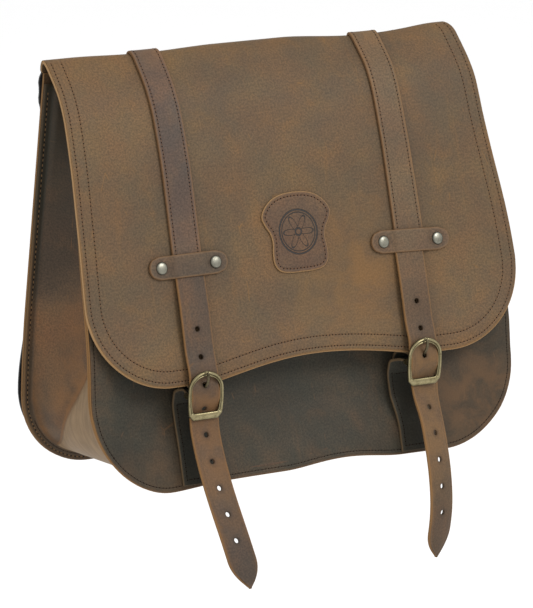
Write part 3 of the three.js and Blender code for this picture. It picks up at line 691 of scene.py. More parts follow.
def even_path(path, pitch, closed=False):
    """Points along a flat path at an even pitch, and the direction at each."""
    path = np.asarray(path, float)
    if closed:
        path = np.vstack([path, path[:1]])
    step = np.linalg.norm(np.diff(path, axis=0), axis=1)
    keep = np.r_[True, step > 1e-6]
    path = path[keep]
    lengths = lengths_along(path)
    count = max(2, int(round(lengths[-1] / pitch)))
    at = (np.arange(count) + 0.5) * lengths[-1] / count
    spots = np.stack([np.interp(at, lengths, path[:, k]) for k in (0, 1)], 1)
    ahead = np.stack([np.interp(at + 0.5, lengths, path[:, k]) for k in (0, 1)], 1)
    behind = np.stack([np.interp(at - 0.5, lengths, path[:, k]) for k in (0, 1)], 1)
    return spots, unit(ahead - behind)


def inset_path(path, distance):
    """A flat open path moved to its left by a distance."""
    path = np.asarray(path, float)
    tangent = unit(np.gradient(path, axis=0))
    return path + np.stack([-tangent[:, 1], tangent[:, 0]], 1) * distance


def band(first, second):
    """The faces between two closed loops of vertex numbers."""
    ahead = np.roll(np.arange(len(first)), -1)
    return [(first[k], first[nxt], second[nxt], second[k]) for k, nxt in enumerate(ahead)]


def rings_of(count, size, start=0):
    """The vertex numbers of so many rings of one size, one after another."""
    return [range(start + k * size, start + (k + 1) * size) for k in range(count)]


def capped(rings, first, last):
    """The faces of a round piece that closes on a single vertex at each end."""
    faces = [(first, nxt, here) for here, nxt in zip(rings[0], np.roll(rings[0], -1))]
    for ring, following in zip(rings, rings[1:]):
        faces += band(ring, following)
    return faces + [(last, here, nxt) for here, nxt in zip(rings[-1], np.roll(rings[-1], -1))]


def tube(rings):
    """The faces of a piece made of rings, with a flat face at each end."""
    faces = []
    for ring, following in zip(rings, rings[1:]):
        faces += band(ring, following)
    return faces + [tuple(rings[0])[::-1], tuple(rings[-1])]


def circle(segments):
    """The cosine and sine of even steps round a circle."""
    angles = 2 * math.pi * np.arange(segments) / segments
    return list(zip(np.cos(angles), np.sin(angles)))


def bead(length, width, height, rings=5, sides=6):
    """A small closed capsule lying along x, as points and faces."""
    points = [(-length / 2, 0, 0)]
    for k in range(rings):
        t = (k + 0.5) / rings * 2 - 1
        swell = math.sqrt(max(0.0, 1 - abs(t) ** 2.6))
        points += [(t * length / 2, cos * width / 2 * swell, sin * height / 2 * swell)
                   for cos, sin in circle(sides)]
    points.append((length / 2, 0, 0))
    return np.array(points), capped(rings_of(rings, sides, 1), 0, len(points) - 1)


THREAD_BEAD = bead(0.56, 0.8, 0.5)        # length as a share of the pitch, width and height
# the hole bead is a dark bead of painted shade in the needle hole
HOLE_SHADE_BEAD = bead(1.5, 1.25, 0.4, rings=3)
# bead, material number, how far along the stitch as a share of the pitch, how deep it is sunk
BEADS = ((THREAD_BEAD, 0, 0.0, 0.12), (HOLE_SHADE_BEAD, 1, 0.5, 0.04))


def stitches(name, paths, place, surface_lift, materials, pitch=STITCH_PITCH, bold=1.0):
    """A row of stitches along each flat path: a thread between each pair of needle holes, each hole a dark
    bead of painted shade.
    """
    vertices, faces, kinds = [], [], []
    count = 0
    for path in paths:
        spots, direction = even_path(path, pitch)
        for (points, pattern), kind, shift, sink in BEADS:
            points = points * ((pitch, bold, bold) if kind == 0 else (1, 1, 1))
            centre = spots + direction * shift * pitch
            base = place(centre[:, 0], centre[:, 1], np.full(len(centre), surface_lift - sink))
            up = unit(place(centre[:, 0], centre[:, 1], np.full(len(centre), surface_lift + 1)) - base)
            ahead = centre + direction * 0.6
            along = place(ahead[:, 0], ahead[:, 1], np.full(len(centre), surface_lift - sink)) - base
            along = unit(along - np.einsum("ij,ij->i", along, up)[:, None] * up)
            side = np.cross(up, along)
            world = (base[:, None, :] + along[:, None, :] * points[None, :, 0:1]
                     + side[:, None, :] * points[None, :, 1:2] + up[:, None, :] * points[None, :, 2:3])
            for k in range(len(centre)):
                vertices.append(world[k])
                faces += [[count + v for v in f] for f in pattern]
                kinds += [kind] * len(pattern)
                count += len(points)
    return make_object(name, np.vstack(vertices), faces, materials, face_materials=kinds)


def lathe(name, profile, centre, axis, material, segments=36):
    """A turned piece: (radius, height) points from axis to axis, standing on centre along axis."""
    axis = np.array(axis, float) / np.linalg.norm(axis)
    not_along = [0, 0, 1.0] if abs(axis[0]) > 0.9 else [1.0, 0, 0]
    side = np.cross(axis, not_along)
    side /= np.linalg.norm(side)
    other = np.cross(axis, side)
    centre = np.array(centre)
    vertices = [centre + axis * profile[0][1]]
    for radius, height in profile[1:-1]:
        vertices += [centre + axis * height + radius * (cos * side + sin * other)
                     for cos, sin in circle(segments)]
    vertices.append(centre + axis * profile[-1][1])
    faces = capped(rings_of(len(profile) - 2, segments, 1), 0, len(vertices) - 1)
    size = np.linalg.norm(np.cross(np.array(vertices) - centre, axis), axis=1)
    # painted shade round the outer rim of a turned piece
    recess_shade = smooth((size / size.max() - 0.72) / 0.28)
    return make_object(name, np.array(vertices), faces, [material], values={"recess_shade": recess_shade})


# ------------------------------------------------------------------------------------------------
# Side profiles: (depth, height), outer faces
# ------------------------------------------------------------------------------------------------
LID_PROFILE = Profile(catmull([
    (0, HEM_BOTTOM), (0, TOP - 16), (0.1, TOP - 7), (1.5, TOP - 2.2), (5, TOP), (11, TOP - 2.6),
    (17.5, TOP - 9), (26.5, TOP - 19.5), (35, TOP - 31), (44.5, TOP - 48), (58.5, TOP - 84),
    (69, TOP - 117), (80, TOP - 152), (90.5, TOP - 186), (97.5, TOP - 207), (105.5, TOP - 228),
    (113, TOP - 247), (119, TOP - 267)]))
LID_TOP_LENGTH = LID_PROFILE.lengths[int(np.argmax(LID_PROFILE.points[:, 1]))]
LID_END = LID_PROFILE.length_at_height(TOP - LID_DROP, LID_TOP_LENGTH)
KEEPER_LENGTH = LID_PROFILE.length_at_height(TOP - KEEPER_DROP, LID_TOP_LENGTH)
LID_SPREAD_LENGTH = LID_PROFILE.length_at_height(TOP - 186, LID_TOP_LENGTH)

FRONT_EDGE = Profile(catmull([
    (30, FRONT_TOP), (56.5, TOP - 110), (77, TOP - 170), (88.5, TOP - 200), (96.5, TOP - 224),
    (101.8, TOP - 248), (105, TOP - 275), (110, TOP - 297), (115, TOP - 322), (118.5, TOP - 345),
    (119.5, BOTTOM)]))


def corner_rise(x, half_width, radius):
    """How far the lower edge rises at x where a panel's lower corner is rounded."""
    into = np.clip(np.abs(x) - (half_width - radius), 0, radius)
    return radius - np.sqrt(radius * radius - into * into)


def columns_across(half_width, radius, spacing):
    """Positions across a panel: even in the middle, by equal angles round the lower corners."""
    inner = half_width - radius
    angles = np.linspace(0, math.pi / 2, max(6, int(radius * 1.57 / spacing)))
    corner = inner + radius * np.sin(angles)
    middle = np.linspace(-inner, inner, max(3, int(2 * inner / spacing)))
    return np.concatenate([-corner[::-1], middle[1:-1], corner])


# ------------------------------------------------------------------------------------------------
# The lid
# ------------------------------------------------------------------------------------------------
def lid_half_width(length):
    t = np.clip((length - LID_TOP_LENGTH) / (LID_END - LID_TOP_LENGTH), 0, 1)
    return LID_HALF_TOP + (LID_HALF_BOTTOM - LID_HALF_TOP) * (0.8 * t + 0.2 * t ** 3)


def lid_reach(x):
    """Length of the lid's lower edge: rounded corners, a lobe behind each strap, a scoop between."""
    reach = np.where(x > 0, 115, 100)
    scoop = LID_SCOOP * np.clip(1 - (x / reach) ** 2, 0, 1) ** 1.3
    return LID_END - corner_rise(x, LID_HALF_BOTTOM, LID_CORNER) - scoop


def lid_wave(x, length):
    """How far the lid's leather stands off its plain profile: slow waves, more towards its lower edge."""
    down = smooth((length - 90) / 220)
    wave = 1.3 * np.sin(x / 47 + length / 90) + 0.9 * np.sin(x / 23 - length / 61 + 1.3)
    crown = 2.5 * (1 - (x / 220) ** 2) * smooth((length - 50) / 120) * (1 - 0.6 * down)
    pulled = -1.6 * (bump((x - STRAP_X) / 50) + bump((x + STRAP_X) / 50)) * down
    lip = 1.5 * down * bump(x / 85) * smooth((length - LID_END + 60) / 60)
    ridge = bump((length - LID_TOP_LENGTH) / 45)
    sag = -4.4 * bump((x - 112) / 85) - 1.8 * bump((x + 111) / 70)
    return wave * down * 0.6 + crown + pulled + lip + sag * ridge


def lid_spread(x, length):
    """How far the lid's sides flare: the right one above its corner; both lie to the left at the fold."""
    right = 8.5 * smooth((x - 50) / 160) * bump((length - LID_SPREAD_LENGTH) / 125)
    past_fold = length - LID_TOP_LENGTH
    near_fold = (1 - smooth((past_fold - 2) / 40)) * smooth((past_fold + 26) / 12)
    left_end = 2.4 * smooth((-x - 150) / 55) * near_fold
    right_end = 3.4 * (1 - smooth((past_fold - 4) / 60)) + 5.6 * np.clip(1 - past_fold / 14, 0, 1) ** 2
    return right - left_end - right_end * smooth((x - 150) / 55)


def on_lid(x, length, lift):
    """A point lifted off the middle of the lid's leather."""
    d, z = LID_PROFILE.lifted(length, lift - LEATHER / 2 + lid_wave(x, length))
    return np.stack([x + lid_spread(x, length), d, z], -1)


def above_lid(lift_from_outer):
    """A place function for leather whose middle lies that far off the lid's outer face."""
    return lambda x, length, lift: on_lid(x, length, LEATHER / 2 + lift_from_outer + lift)


def hang_from_top(obj):
    """Leather that bends over the back panel's top edge, with its placement baked into its mesh."""
    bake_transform(obj)


def lid_columns_at(columns, length):
    """The lid's columns, as wide as the lid is at a length; narrower where it is sewn behind the bag."""
    hem = 8 * smooth((LID_TOP_LENGTH - 11 - length) / 13)
    return columns * (lid_half_width(length) - hem) / LID_HALF_BOTTOM


def lid_edge_path():
    """The lid's side and lower edges as one flat path, from the back of one side to the other."""
    columns = columns_across(LID_HALF_BOTTOM, LID_CORNER, 3)
    lower = np.stack([lid_columns_at(columns, lid_reach(columns)), lid_reach(columns)], 1)
    length = np.linspace(LID_TOP_LENGTH + 4, LID_END - LID_CORNER - 2, 80)
    right = np.stack([lid_columns_at(LID_HALF_BOTTOM, length), length], 1)
    left = right * np.array([-1, 1])
    return np.vstack([left, lower, right[::-1]])


LID_ROWS = (4.5, 14.0)


def make_lid():
    columns = columns_across(LID_HALF_BOTTOM, LID_CORNER, 4.0)
    fold = LID_TOP_LENGTH + 14
    behind = [np.full(len(columns), row) for row in np.linspace(0, fold, 26)[:-1]]
    front = [fold + (lid_reach(columns) - fold) * share for share in np.linspace(0, 1, 76)]
    length = np.array(behind + front)
    sheet = Sheet("lid_flap", lid_columns_at(columns, length), length, on_lid, LEATHER)

    def wear(px, pl):
        patch = bump((px - 60) / 110) * bump((pl - 245) / 80) * 0.36
        fold = bump((pl - LID_TOP_LENGTH - 4) / 22) * 0.15
        return patch + fold

    def shade(px, pl):
        under_strap = bump((np.abs(np.abs(px) - STRAP_X)) / 30)
        behind = smooth((LID_TOP_LENGTH + 1 - pl) / 6)
        return 0.12 * under_strap + 0.5 * behind

    obj = sheet.build([LID_LEATHER], wear=wear, shade=shade, rows=LID_ROWS)
    hang_from_top(obj)
    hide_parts("lid", "lid_hem")

    paths = [inset_path(lid_edge_path(), -row) for row in LID_ROWS]
    thread_rows = stitches("lid_stitches", paths, on_lid, LEATHER / 2, [LID_THREAD, NEEDLE_HOLE_SHADE])
    hang_from_top(thread_rows)
    hem = [np.array([(-LID_HALF_TOP + 14, 7.0), (LID_HALF_TOP - 14, 7.0)])]
    hem_rows = stitches("hem_stitches", hem, on_lid, LEATHER / 2, [LID_THREAD, NEEDLE_HOLE_SHADE])
    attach(hem_rows, "bag")


STRAP_ROW = 3.4               # how far in from the edge a row of stitches lies


def make_lid_straps():
    start = LID_TOP_LENGTH - 12
    end = KEEPER_LENGTH + KEEPER_HEIGHT / 2 - 1.5
    for side_name, side in SIDES:
        across = np.linspace(-STRAP_WIDTH / 2, STRAP_WIDTH / 2, 9)
        down = np.concatenate([np.linspace(start, start + 40, 22)[:-1], np.linspace(start + 40, end, 36)])
        x, length = np.meshgrid(across, down)
        centre = side * STRAP_X

        def place(px, pl, lift, centre=centre):
            thin = smooth((pl - start) / 9)
            return above_lid(0)(px + centre, pl, (STRAP_LEATHER / 2 + lift) * (0.25 + 0.75 * thin) + 0.15)

        strap = Sheet(f"lid_strap_{side_name}_leather", x, length, place, STRAP_LEATHER)
        obj = strap.build([STRAP_LOOK[side_name]], offset=(400 + 60 * side, 30), rows=(STRAP_ROW, NO_ROW),
                          wear=lambda px, pl: 0.3 * bump((pl - LID_TOP_LENGTH - 5) / 26) + 0 * px)
        hang_from_top(obj)
        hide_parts(f"lid_strap_{side_name}")
        row_x = STRAP_WIDTH / 2 - STRAP_ROW
        lines = [np.array([(s * row_x, start + 4), (s * row_x, end)]) for s in (-1, 1)]
        sewn = stitches(f"lid_strap_{side_name}_stitches", lines, place, STRAP_LEATHER / 2,
                        [LID_THREAD, NEEDLE_HOLE_SHADE])
        hang_from_top(sewn)


# how far down each keeper sits below its packed place, and how far its right end drops, in degrees
KEEPER_SET = {"left": (2.4, 0.0), "right": (4.4, 2.6)}
# (radius, height): a stem and a low domed cap; the flat washer behind the lid
RIVET_CAP = [(0, -4), (1.9, -4), (1.9, -0.1), (5.0, -0.1), (5.5, 0.15), (5.55, 0.5), (5.1, 1.0),
             (4.1, 1.45), (2.8, 1.75), (1.4, 1.9), (0, 1.95)]
RIVET_WASHER = [(0, -0.5), (2.2, -0.5), (4.2, -0.4), (4.6, -0.1), (4.5, 0.5), (3, 1.1), (0, 1.2)]


def make_rivet(name, x, length):
    """A rivet through a keeper and the lid: its cap in front, its washer behind."""
    base = above_lid(STRAP_LEATHER + 0.1)(x, length, 0.0)
    tip = above_lid(STRAP_LEATHER + 1.1)(x, length, 0.0)
    rivet = lathe(f"rivet_{name}", RIVET_CAP, base, tip - base, RIVET_METAL)
    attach(rivet, "lid")
    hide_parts(f"keeper_rivet_{name}")
    back = above_lid(-LEATHER)(x, length, 0.0)
    washer = lathe(f"rivet_{name}_back", RIVET_WASHER, back, base - tip, RIVET_METAL)
    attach(washer, "lid")


def make_keepers():
    for side_name, side in SIDES:
        centre = side * STRAP_X
        lower, turn = KEEPER_SET[side_name]
        cos, sin = math.cos(math.radians(turn)), math.sin(math.radians(turn))
        r = KEEPER_HEIGHT / 2
        rows = np.linspace(-1, 1, 9)
        u = np.linspace(-1, 1, 41)
        x, length = [], []
        for v in rows:
            reach = KEEPER_HALF - r + math.sqrt(max(0, r * r - (v * r) ** 2))
            x.append(u * reach)
            length.append(np.full(len(u), KEEPER_LENGTH + v * r))

        def place(px, pl, lift, centre=centre, lower=lower, cos=cos, sin=sin):
            over = 0.2 + (STRAP_LEATHER + 0.3) * smooth((STRAP_WIDTH / 2 + 6 - np.abs(px)) / 7)
            dip = 0.5 * (bump((px - RIVET_SPACING / 2) / 7.5) + bump((px + RIVET_SPACING / 2) / 7.5))
            down = pl - KEEPER_LENGTH
            turned_x, turned_down = px * cos - down * sin, px * sin + down * cos
            return above_lid(over + STRAP_LEATHER / 2 - dip * 0.4)(
                turned_x + centre, turned_down + KEEPER_LENGTH + lower, lift)

        def ring(px, pl):
            off = np.hypot(np.abs(px) - RIVET_SPACING / 2, pl - KEEPER_LENGTH)
            return bump((off - 7) / 1.6) * 0.35

        keeper = Sheet(f"keeper_{side_name}_leather", np.array(x), np.array(length), place, STRAP_LEATHER)
        obj = keeper.build([KEEPER_LEATHER], offset=(700 + 90 * side, 60), shade=ring)
        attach(obj, "lid")
        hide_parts(f"keeper_{side_name}")
        for place_name, away in (("outer", side), ("inner", -side)):
            spot_x = centre + away * RIVET_SPACING / 2 * cos
            spot_length = KEEPER_LENGTH + lower + away * RIVET_SPACING / 2 * sin
            make_rivet(f"{side_name}_{place_name}", np.array(spot_x), np.array(spot_length))


# half of the badge's outline, from the middle of its domed top to the middle of its bottom
BADGE_OUTLINE = ((0, 34.6), (12, 33.6), (22.5, 30), (30.5, 23.5), (34.6, 15.5), (32.4, 8), (28, 0.5),
                 (26.6, -7), (27.8, -17), (27.2, -26), (22, -32.3), (12, -34.4), (0, -34.6))
BADGE_THICKNESS = 2.0
BADGE_ROW = 3.4
BADGE_SHIFT = 0.8              # to the right of the lid's middle


def badge_edge(angles):
    """Where the badge's outline lies at angles round its middle."""
    half = np.array(BADGE_OUTLINE)
    loop = np.vstack([half, half[-2:0:-1] * np.array([-1, 1])])
    smooth_loop = catmull(np.vstack([loop, loop[:1]]), 10)
    reach = radius_at(smooth_loop, angles)
    return np.stack([np.cos(angles), np.sin(angles)], -1) * np.asarray(reach)[..., None]


def make_badge():
    middle = LID_PROFILE.length_at_height(TOP - 154, LID_TOP_LENGTH)
    steps = np.linspace(-1, 1, 61)
    u, v = np.meshgrid(steps, -steps)
    share = np.maximum(np.maximum(np.abs(u), np.abs(v)), 1e-9)
    spots = badge_edge(np.arctan2(v, u)) * share[..., None]
    place = above_lid(0.1 + BADGE_THICKNESS / 2)

    def on_badge(px, pl, lift):
        return place(px + BADGE_SHIFT, pl + middle, lift)

    sheet = Sheet("badge_leather", spots[..., 0], -spots[..., 1], on_badge, BADGE_THICKNESS)
    obj = sheet.build([BADGE_LEATHER], rows=(BADGE_ROW, NO_ROW))
    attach(obj, "lid")
    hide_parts("badge")
    border = badge_edge(np.linspace(0, 2 * math.pi, 240, endpoint=False)) * np.array([1, -1])
    inner = shrink_closed(border, BADGE_ROW)
    sewn = stitches("badge_stitches", [np.vstack([inner, inner[:1]])], on_badge, BADGE_THICKNESS / 2,
                    [LID_THREAD, NEEDLE_HOLE_SHADE], pitch=3.5)
    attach(sewn, "lid")


def shrink_closed(path, distance):
    """A closed flat path moved inwards by a distance, at an even spacing."""
    spots, _ = even_path(path, 1.2, closed=True)
    tangent = unit(np.roll(spots, -2, axis=0) - np.roll(spots, 2, axis=0))
    normal = np.stack([-tangent[:, 1], tangent[:, 0]], 1)
    if np.einsum("ij,ij->i", normal, spots.mean(0) - spots).sum() < 0:
        normal = -normal
    inner = spots + normal * distance
    far = distance_to_path(inner, spots) > distance * 0.96
    return inner[far]


# ------------------------------------------------------------------------------------------------
# The free ends of the straps
# ------------------------------------------------------------------------------------------------
# How each free end hangs. tail: the side view of its loose tail, as (depth, below the top).
# drift: how far its tip drifts right. twist: how far it turns, in degrees. slip: how far right it
# lies in the buckle. prong: how far above the bar the prong goes through it. first_hole: how far on
# from the prong the holes of its tail begin.
HANG = {
    "left": dict(tail=((134, 329), (149, 360), (167, 392), (189, 429)), drift=9.5, twist=1.0, slip=1.0,
                 prong=8.5, first_hole=21.5),
    "right": dict(tail=((139, 330), (152, 365), (157, 400), (151, 442)), drift=-1.5, twist=16.0, slip=3.5,
                  prong=5.0, first_hole=25.0),
}


def billet_profile(side_name):
    """The strap end's side view: down the lid from under the keeper, through the buckle, then loose."""
    through_buckle = [(87.3, 171), (90.6, 179), (94.2, 188), (104.6, 214), (112.8, 236), (120.4, 252),
                      (121.6, 259), (124, 265), (125.2, 271), (124.2, 277), (121.7, 284), (121.6, 290),
                      (124, 303)]
    bar = BAR[side_name]
    shift = bar[1:] - np.array([119.6, TOP - 271])
    points = []
    for depth, below in through_buckle:
        share = smooth((below - 195) / 60)
        points.append((depth + shift[0] * share, TOP - below + shift[1] * share))
    points += [(depth, TOP - below) for depth, below in HANG[side_name]["tail"]]
    return Profile(catmull(points, 14))


TIP = 26.0                    # the pointed stretch of a strap end
# round a hole the grid has rows and columns at these distances, so that a block can be cut out
HOLE_BLOCK = (-3.6, -1.2, 1.2, 3.6)


def billet_rows(end, holes):
    """Lengths for a strap end's grid: close to even, in step with its holes, and closer by its tip."""
    rows = [0.0]
    for target in sorted(hole + step for hole in holes for step in HOLE_BLOCK) + [end - TIP]:
        gap = target - rows[-1]
        steps = max(1, int(round(gap / 3.2)))
        rows += [rows[-1] + gap * (k + 1) / steps for k in range(steps)]
    rows += list(end - TIP * (1 - np.sin(np.linspace(0.08, math.pi / 2, 14))))
    return np.array(rows)


def billet_marks(prong, tail, end, holes):
    """A strap end's looks: worn where it passes the buckle and bends, dark round its holes and by its tip."""

    def wear(px, pl):
        through = bump((pl - prong - 16) / 46) * 0.55
        bend = bump((pl - tail - 30) / 90) * 0.4
        along_edge = 0.3 * smooth((np.abs(px) - 9) / 4) * smooth((pl - tail) / 20)
        return np.maximum(through, bend) + along_edge

    def shade(px, pl):
        around = sum(bump(np.hypot(px, pl - h) / 6.0) for h in holes) * 0.75
        tip_dark = smooth((pl - end + 60) / 60) * 0.3
        return np.clip(around + tip_dark, 0, 1)

    return dict(wear=wear, shade=shade)


def make_billets():
    for side_name, side in SIDES:
        hang = HANG[side_name]
        profile = billet_profile(side_name)
        bar_x, _, bar_z = BAR[side_name]
        tail = profile.length_at_height(TOP - 300)
        end = profile.length
        prong = profile.length_at_height(bar_z + hang["prong"])

        def place(px, pl, lift, profile=profile, side=side, bar_x=bar_x, tail=tail, end=end, hang=hang):
            t = smooth((pl - tail) / (end - tail))
            angle = np.radians(hang["twist"] * smooth((pl - tail + 30) / 60))
            d0, z0 = profile.at(pl)
            d1, z1 = profile.lifted(pl, 1.0)
            nd, nz = d1 - d0, z1 - z0
            cup = -0.7 * (px / 14) ** 2 * smooth((pl - tail) / 60)
            out = (lift + cup) * np.cos(angle) - px * np.sin(angle)
            centre = side * STRAP_X + (bar_x - side * STRAP_X) * smooth(pl / 95)
            x = centre + hang["drift"] * t + px * np.cos(angle) + (lift + cup) * np.sin(angle)
            x = x + hang["slip"] * smooth((pl - tail + 24) / 22)
            return np.stack([x, d0 + nd * out, z0 + nz * out], -1)

        holes = [prong + k * HOLE_PITCH for k in (-2, -1, 0)]
        holes += [prong + hang["first_hole"] + k * TAIL_HOLE_PITCH for k in range(6)]
        rows = billet_rows(end, holes)
        across = np.array([-14, -12.6, -10.5, -8, -5.6, -3.6, -1.2, 1.2, 3.6, 5.6, 8, 10.5, 12.6, 14])
        reach = np.clip((rows - (end - TIP)) / TIP, 0, 1)
        scale = np.maximum(1 - reach ** 2.1, 0.06)
        x = scale[:, None] * across[None, :]
        length = np.repeat(rows[:, None], len(across), 1)
        punched = []
        for h in holes:
            r0 = int(np.argmin(np.abs(rows - (h + HOLE_BLOCK[0]))))
            r1 = int(np.argmin(np.abs(rows - (h + HOLE_BLOCK[3]))))
            size = (HOLE_RADIUS, HOLE_RADIUS)
            punched.append(dict(rows=(r0, r1), columns=(5, 8), centre=(0, h), half=size))
        strap = Sheet(f"billet_{side_name}_leather", x, length, place, STRAP_LEATHER, holes=punched)

        obj = strap.build([BILLET_LOOK[side_name]], offset=(1100 + 140 * side, 0), rows=(3.0, NO_ROW),
                          **billet_marks(prong, tail, end, holes))
        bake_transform(obj)
        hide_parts(f"billet_{side_name}")


# ------------------------------------------------------------------------------------------------
# Back panel, the black sheet behind it, front panel and gussets
# ------------------------------------------------------------------------------------------------
def widened(drop, taper, straight):
    """How much wider than its top a panel is at a drop: an even taper that dies away by the corner."""
    full = taper * straight / (straight - TAPER_EASE / 2)
    into = np.clip(drop - (straight - TAPER_EASE), 0, TAPER_EASE)
    return full * (np.minimum(drop, straight) - into * into / (2 * TAPER_EASE))


def back_half(z):
    return BACK_HALF_TOP + widened(BACK_TOP - z, BACK_TAPER, BACK_TOP - BOTTOM - BACK_CORNER)


def front_half(z):
    return FRONT_HALF_TOP + widened(FRONT_TOP - z, FRONT_TAPER, FRONT_TOP - BOTTOM - FRONT_CORNER)


def panel_grid(top, bottom, half, radius, spacing):
    """A flat panel's grid of x and distance below its top, with rounded lower corners."""
    wide = float(half(bottom + radius))
    columns = columns_across(wide, radius, spacing)
    reach = top - bottom - corner_rise(columns, wide, radius)
    down = np.array([reach * share for share in np.linspace(0, 1, int((top - bottom) / spacing))])
    return columns * half(top - down) / wide, down


def make_back():
    x, down = panel_grid(BACK_TOP, BOTTOM, back_half, BACK_CORNER, 6.0)

    def on_back(px, pd, lift):
        depth = BACK_DEPTH + PANEL_LEATHER / 2 + 0 * px
        return np.stack([px, depth + lift, BACK_TOP - pd], -1)

    obj = Sheet("back_leather", x, down, on_back, PANEL_LEATHER).build([BODY_LEATHER], offset=(0, 900))
    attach(obj, "bag")
    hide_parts("back_panel")

    black_top = HEM_BOTTOM - 0.6
    x, down = panel_grid(black_top, BOTTOM + 2, lambda z: back_half(z) - 3.5, BACK_CORNER, 4.0)

    def on_black(px, pd, lift):
        """Behind the back panel, but for a buckled ear near the top and a stretch low on the corner."""
        near = smooth((np.abs(px) - 188) / 16)
        ear = 20 * smooth((np.abs(px) - 197.5) / 3) * np.clip(1 - pd / 60, 0, 1)
        high = bump((pd - 10) / 19) * (4.4 + 0.9 * np.sin(pd / 2.6))
        low = bump((pd - 252) / 62) * 5.0
        depth = 1.05 + 0.25 * np.sin(pd / 5.1) * bump((pd - 20) / 40) * near
        return np.stack([px + np.sign(px) * near * (high + low), depth + lift, black_top + ear - pd], -1)

    sheet = Sheet("black_protector", x, down, on_black, 1.9).build([BLACK_SHEET], offset=(0, 1500))
    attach(sheet, "bag")
    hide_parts("back_protector")


def front_dish(x, z):
    """How far the front panel sinks behind its edges: most where the lid's lower edge hangs."""
    across = np.clip(1 - (x / 196) ** 2, 0, 1) ** 0.8
    down = TOP - z
    sink = np.interp(down, [48, 120, 200, 266, 300, 328, 345, 358], [0, 5, 12, 15, 12.5, 6.5, 1.5, -2])
    return sink * across


FRONT_LENGTH = FRONT_EDGE.length


def front_droop(x):
    """How far the bag's lower front edge is pulled up, right of its middle, and hangs down at the left."""
    pulled = 2.0 * np.clip(1 - (x / 150) ** 2, 0, 1) + 4.7 * bump((x - 32) / 60)
    return pulled - 2.6 * bump((x + 145) / 60)


def on_front(x, length, lift):
    d, z = FRONT_EDGE.at(length)
    d1, z1 = FRONT_EDGE.lifted(length, 1.0)
    sink = front_dish(x, z)
    wave = 0.7 * np.sin(x / 31 + 0.6) * np.sin(length / 44) * smooth((230 - np.abs(x)) / 40)
    out = lift - PANEL_LEATHER / 2 + wave
    low = smooth((length - FRONT_LENGTH + 90) / 90)
    droop = front_droop(x) * low
    return np.stack([x, d - sink + (d1 - d) * out, z + (z1 - z) * out + droop], -1)


def front_grid():
    wide = float(front_half(BOTTOM + FRONT_CORNER))
    columns = columns_across(wide, FRONT_CORNER, 5.0)
    reach = FRONT_LENGTH - corner_rise(columns, wide, FRONT_CORNER)
    length = np.array([reach * share for share in np.linspace(0, 1, int(FRONT_LENGTH / 5))])
    return columns * front_half(FRONT_EDGE.at(length)[1]) / wide, length


FRONT_ROW = 4.2


def edge_of(sheet):
    """The side and lower edges of a sheet as one flat path."""
    left = sheet.flat[:, 0]
    right = sheet.flat[::-1, -1]
    return np.vstack([left, sheet.flat[-1, 1:-1], right])


def make_front():
    x, length = front_grid()
    sheet = Sheet("front_leather_in_lid_shade", x, length, on_front, PANEL_LEATHER)

    def wear(px, pl):
        # lighter towards the lower corners: painted light where the lid's painted shade falls off
        left = 0.25 * bump((px + 150) / 80) * bump((pl - FRONT_LENGTH) / 60)
        right = 0.65 * bump((px - 178) / 100) * bump((pl - FRONT_LENGTH + 40) / 75)
        return left + right

    obj = sheet.build([FRONT_LEATHER_IN_LID_SHADE], offset=(0, 2200), wear=wear, rows=(FRONT_ROW, NO_ROW))
    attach(obj, "bag")
    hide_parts("front_panel")
    path = inset_path(edge_of(sheet), -FRONT_ROW)
    sewn = stitches("front_stitches", [path], on_front, PANEL_LEATHER / 2, [DARK_THREAD, NEEDLE_HOLE_SHADE])
    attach(sewn, "bag")


def outline(half, bottom, radius, top, count_side, count_corner, count_floor):
    """Half a panel's outline, down its side to the middle of its bottom: each point and its outward way."""
    wide = float(half(bottom + radius))
    points = []
    for z in np.linspace(top, bottom + radius, count_side)[:-1]:
        points.append((float(half(z)), z, 1.0, 0.0))
    for a in np.linspace(0, math.pi / 2, count_corner):
        points.append((wide - radius + radius * math.cos(a), bottom + radius - radius * math.sin(a),
                       math.cos(a), -math.sin(a)))
    for x in np.linspace(wide - radius, -2.0, count_floor)[1:]:
        points.append((x, bottom, 0.0, -1.0))
    return np.array(points)


GUSSET_SIDE, GUSSET_CORNER, GUSSET_FLOOR = 46, 30, 30
FLANGE = 9.5                  # width of the gusset's flanges
GUSSET_ROW = 3.2
SECOND_ROW = 6.2


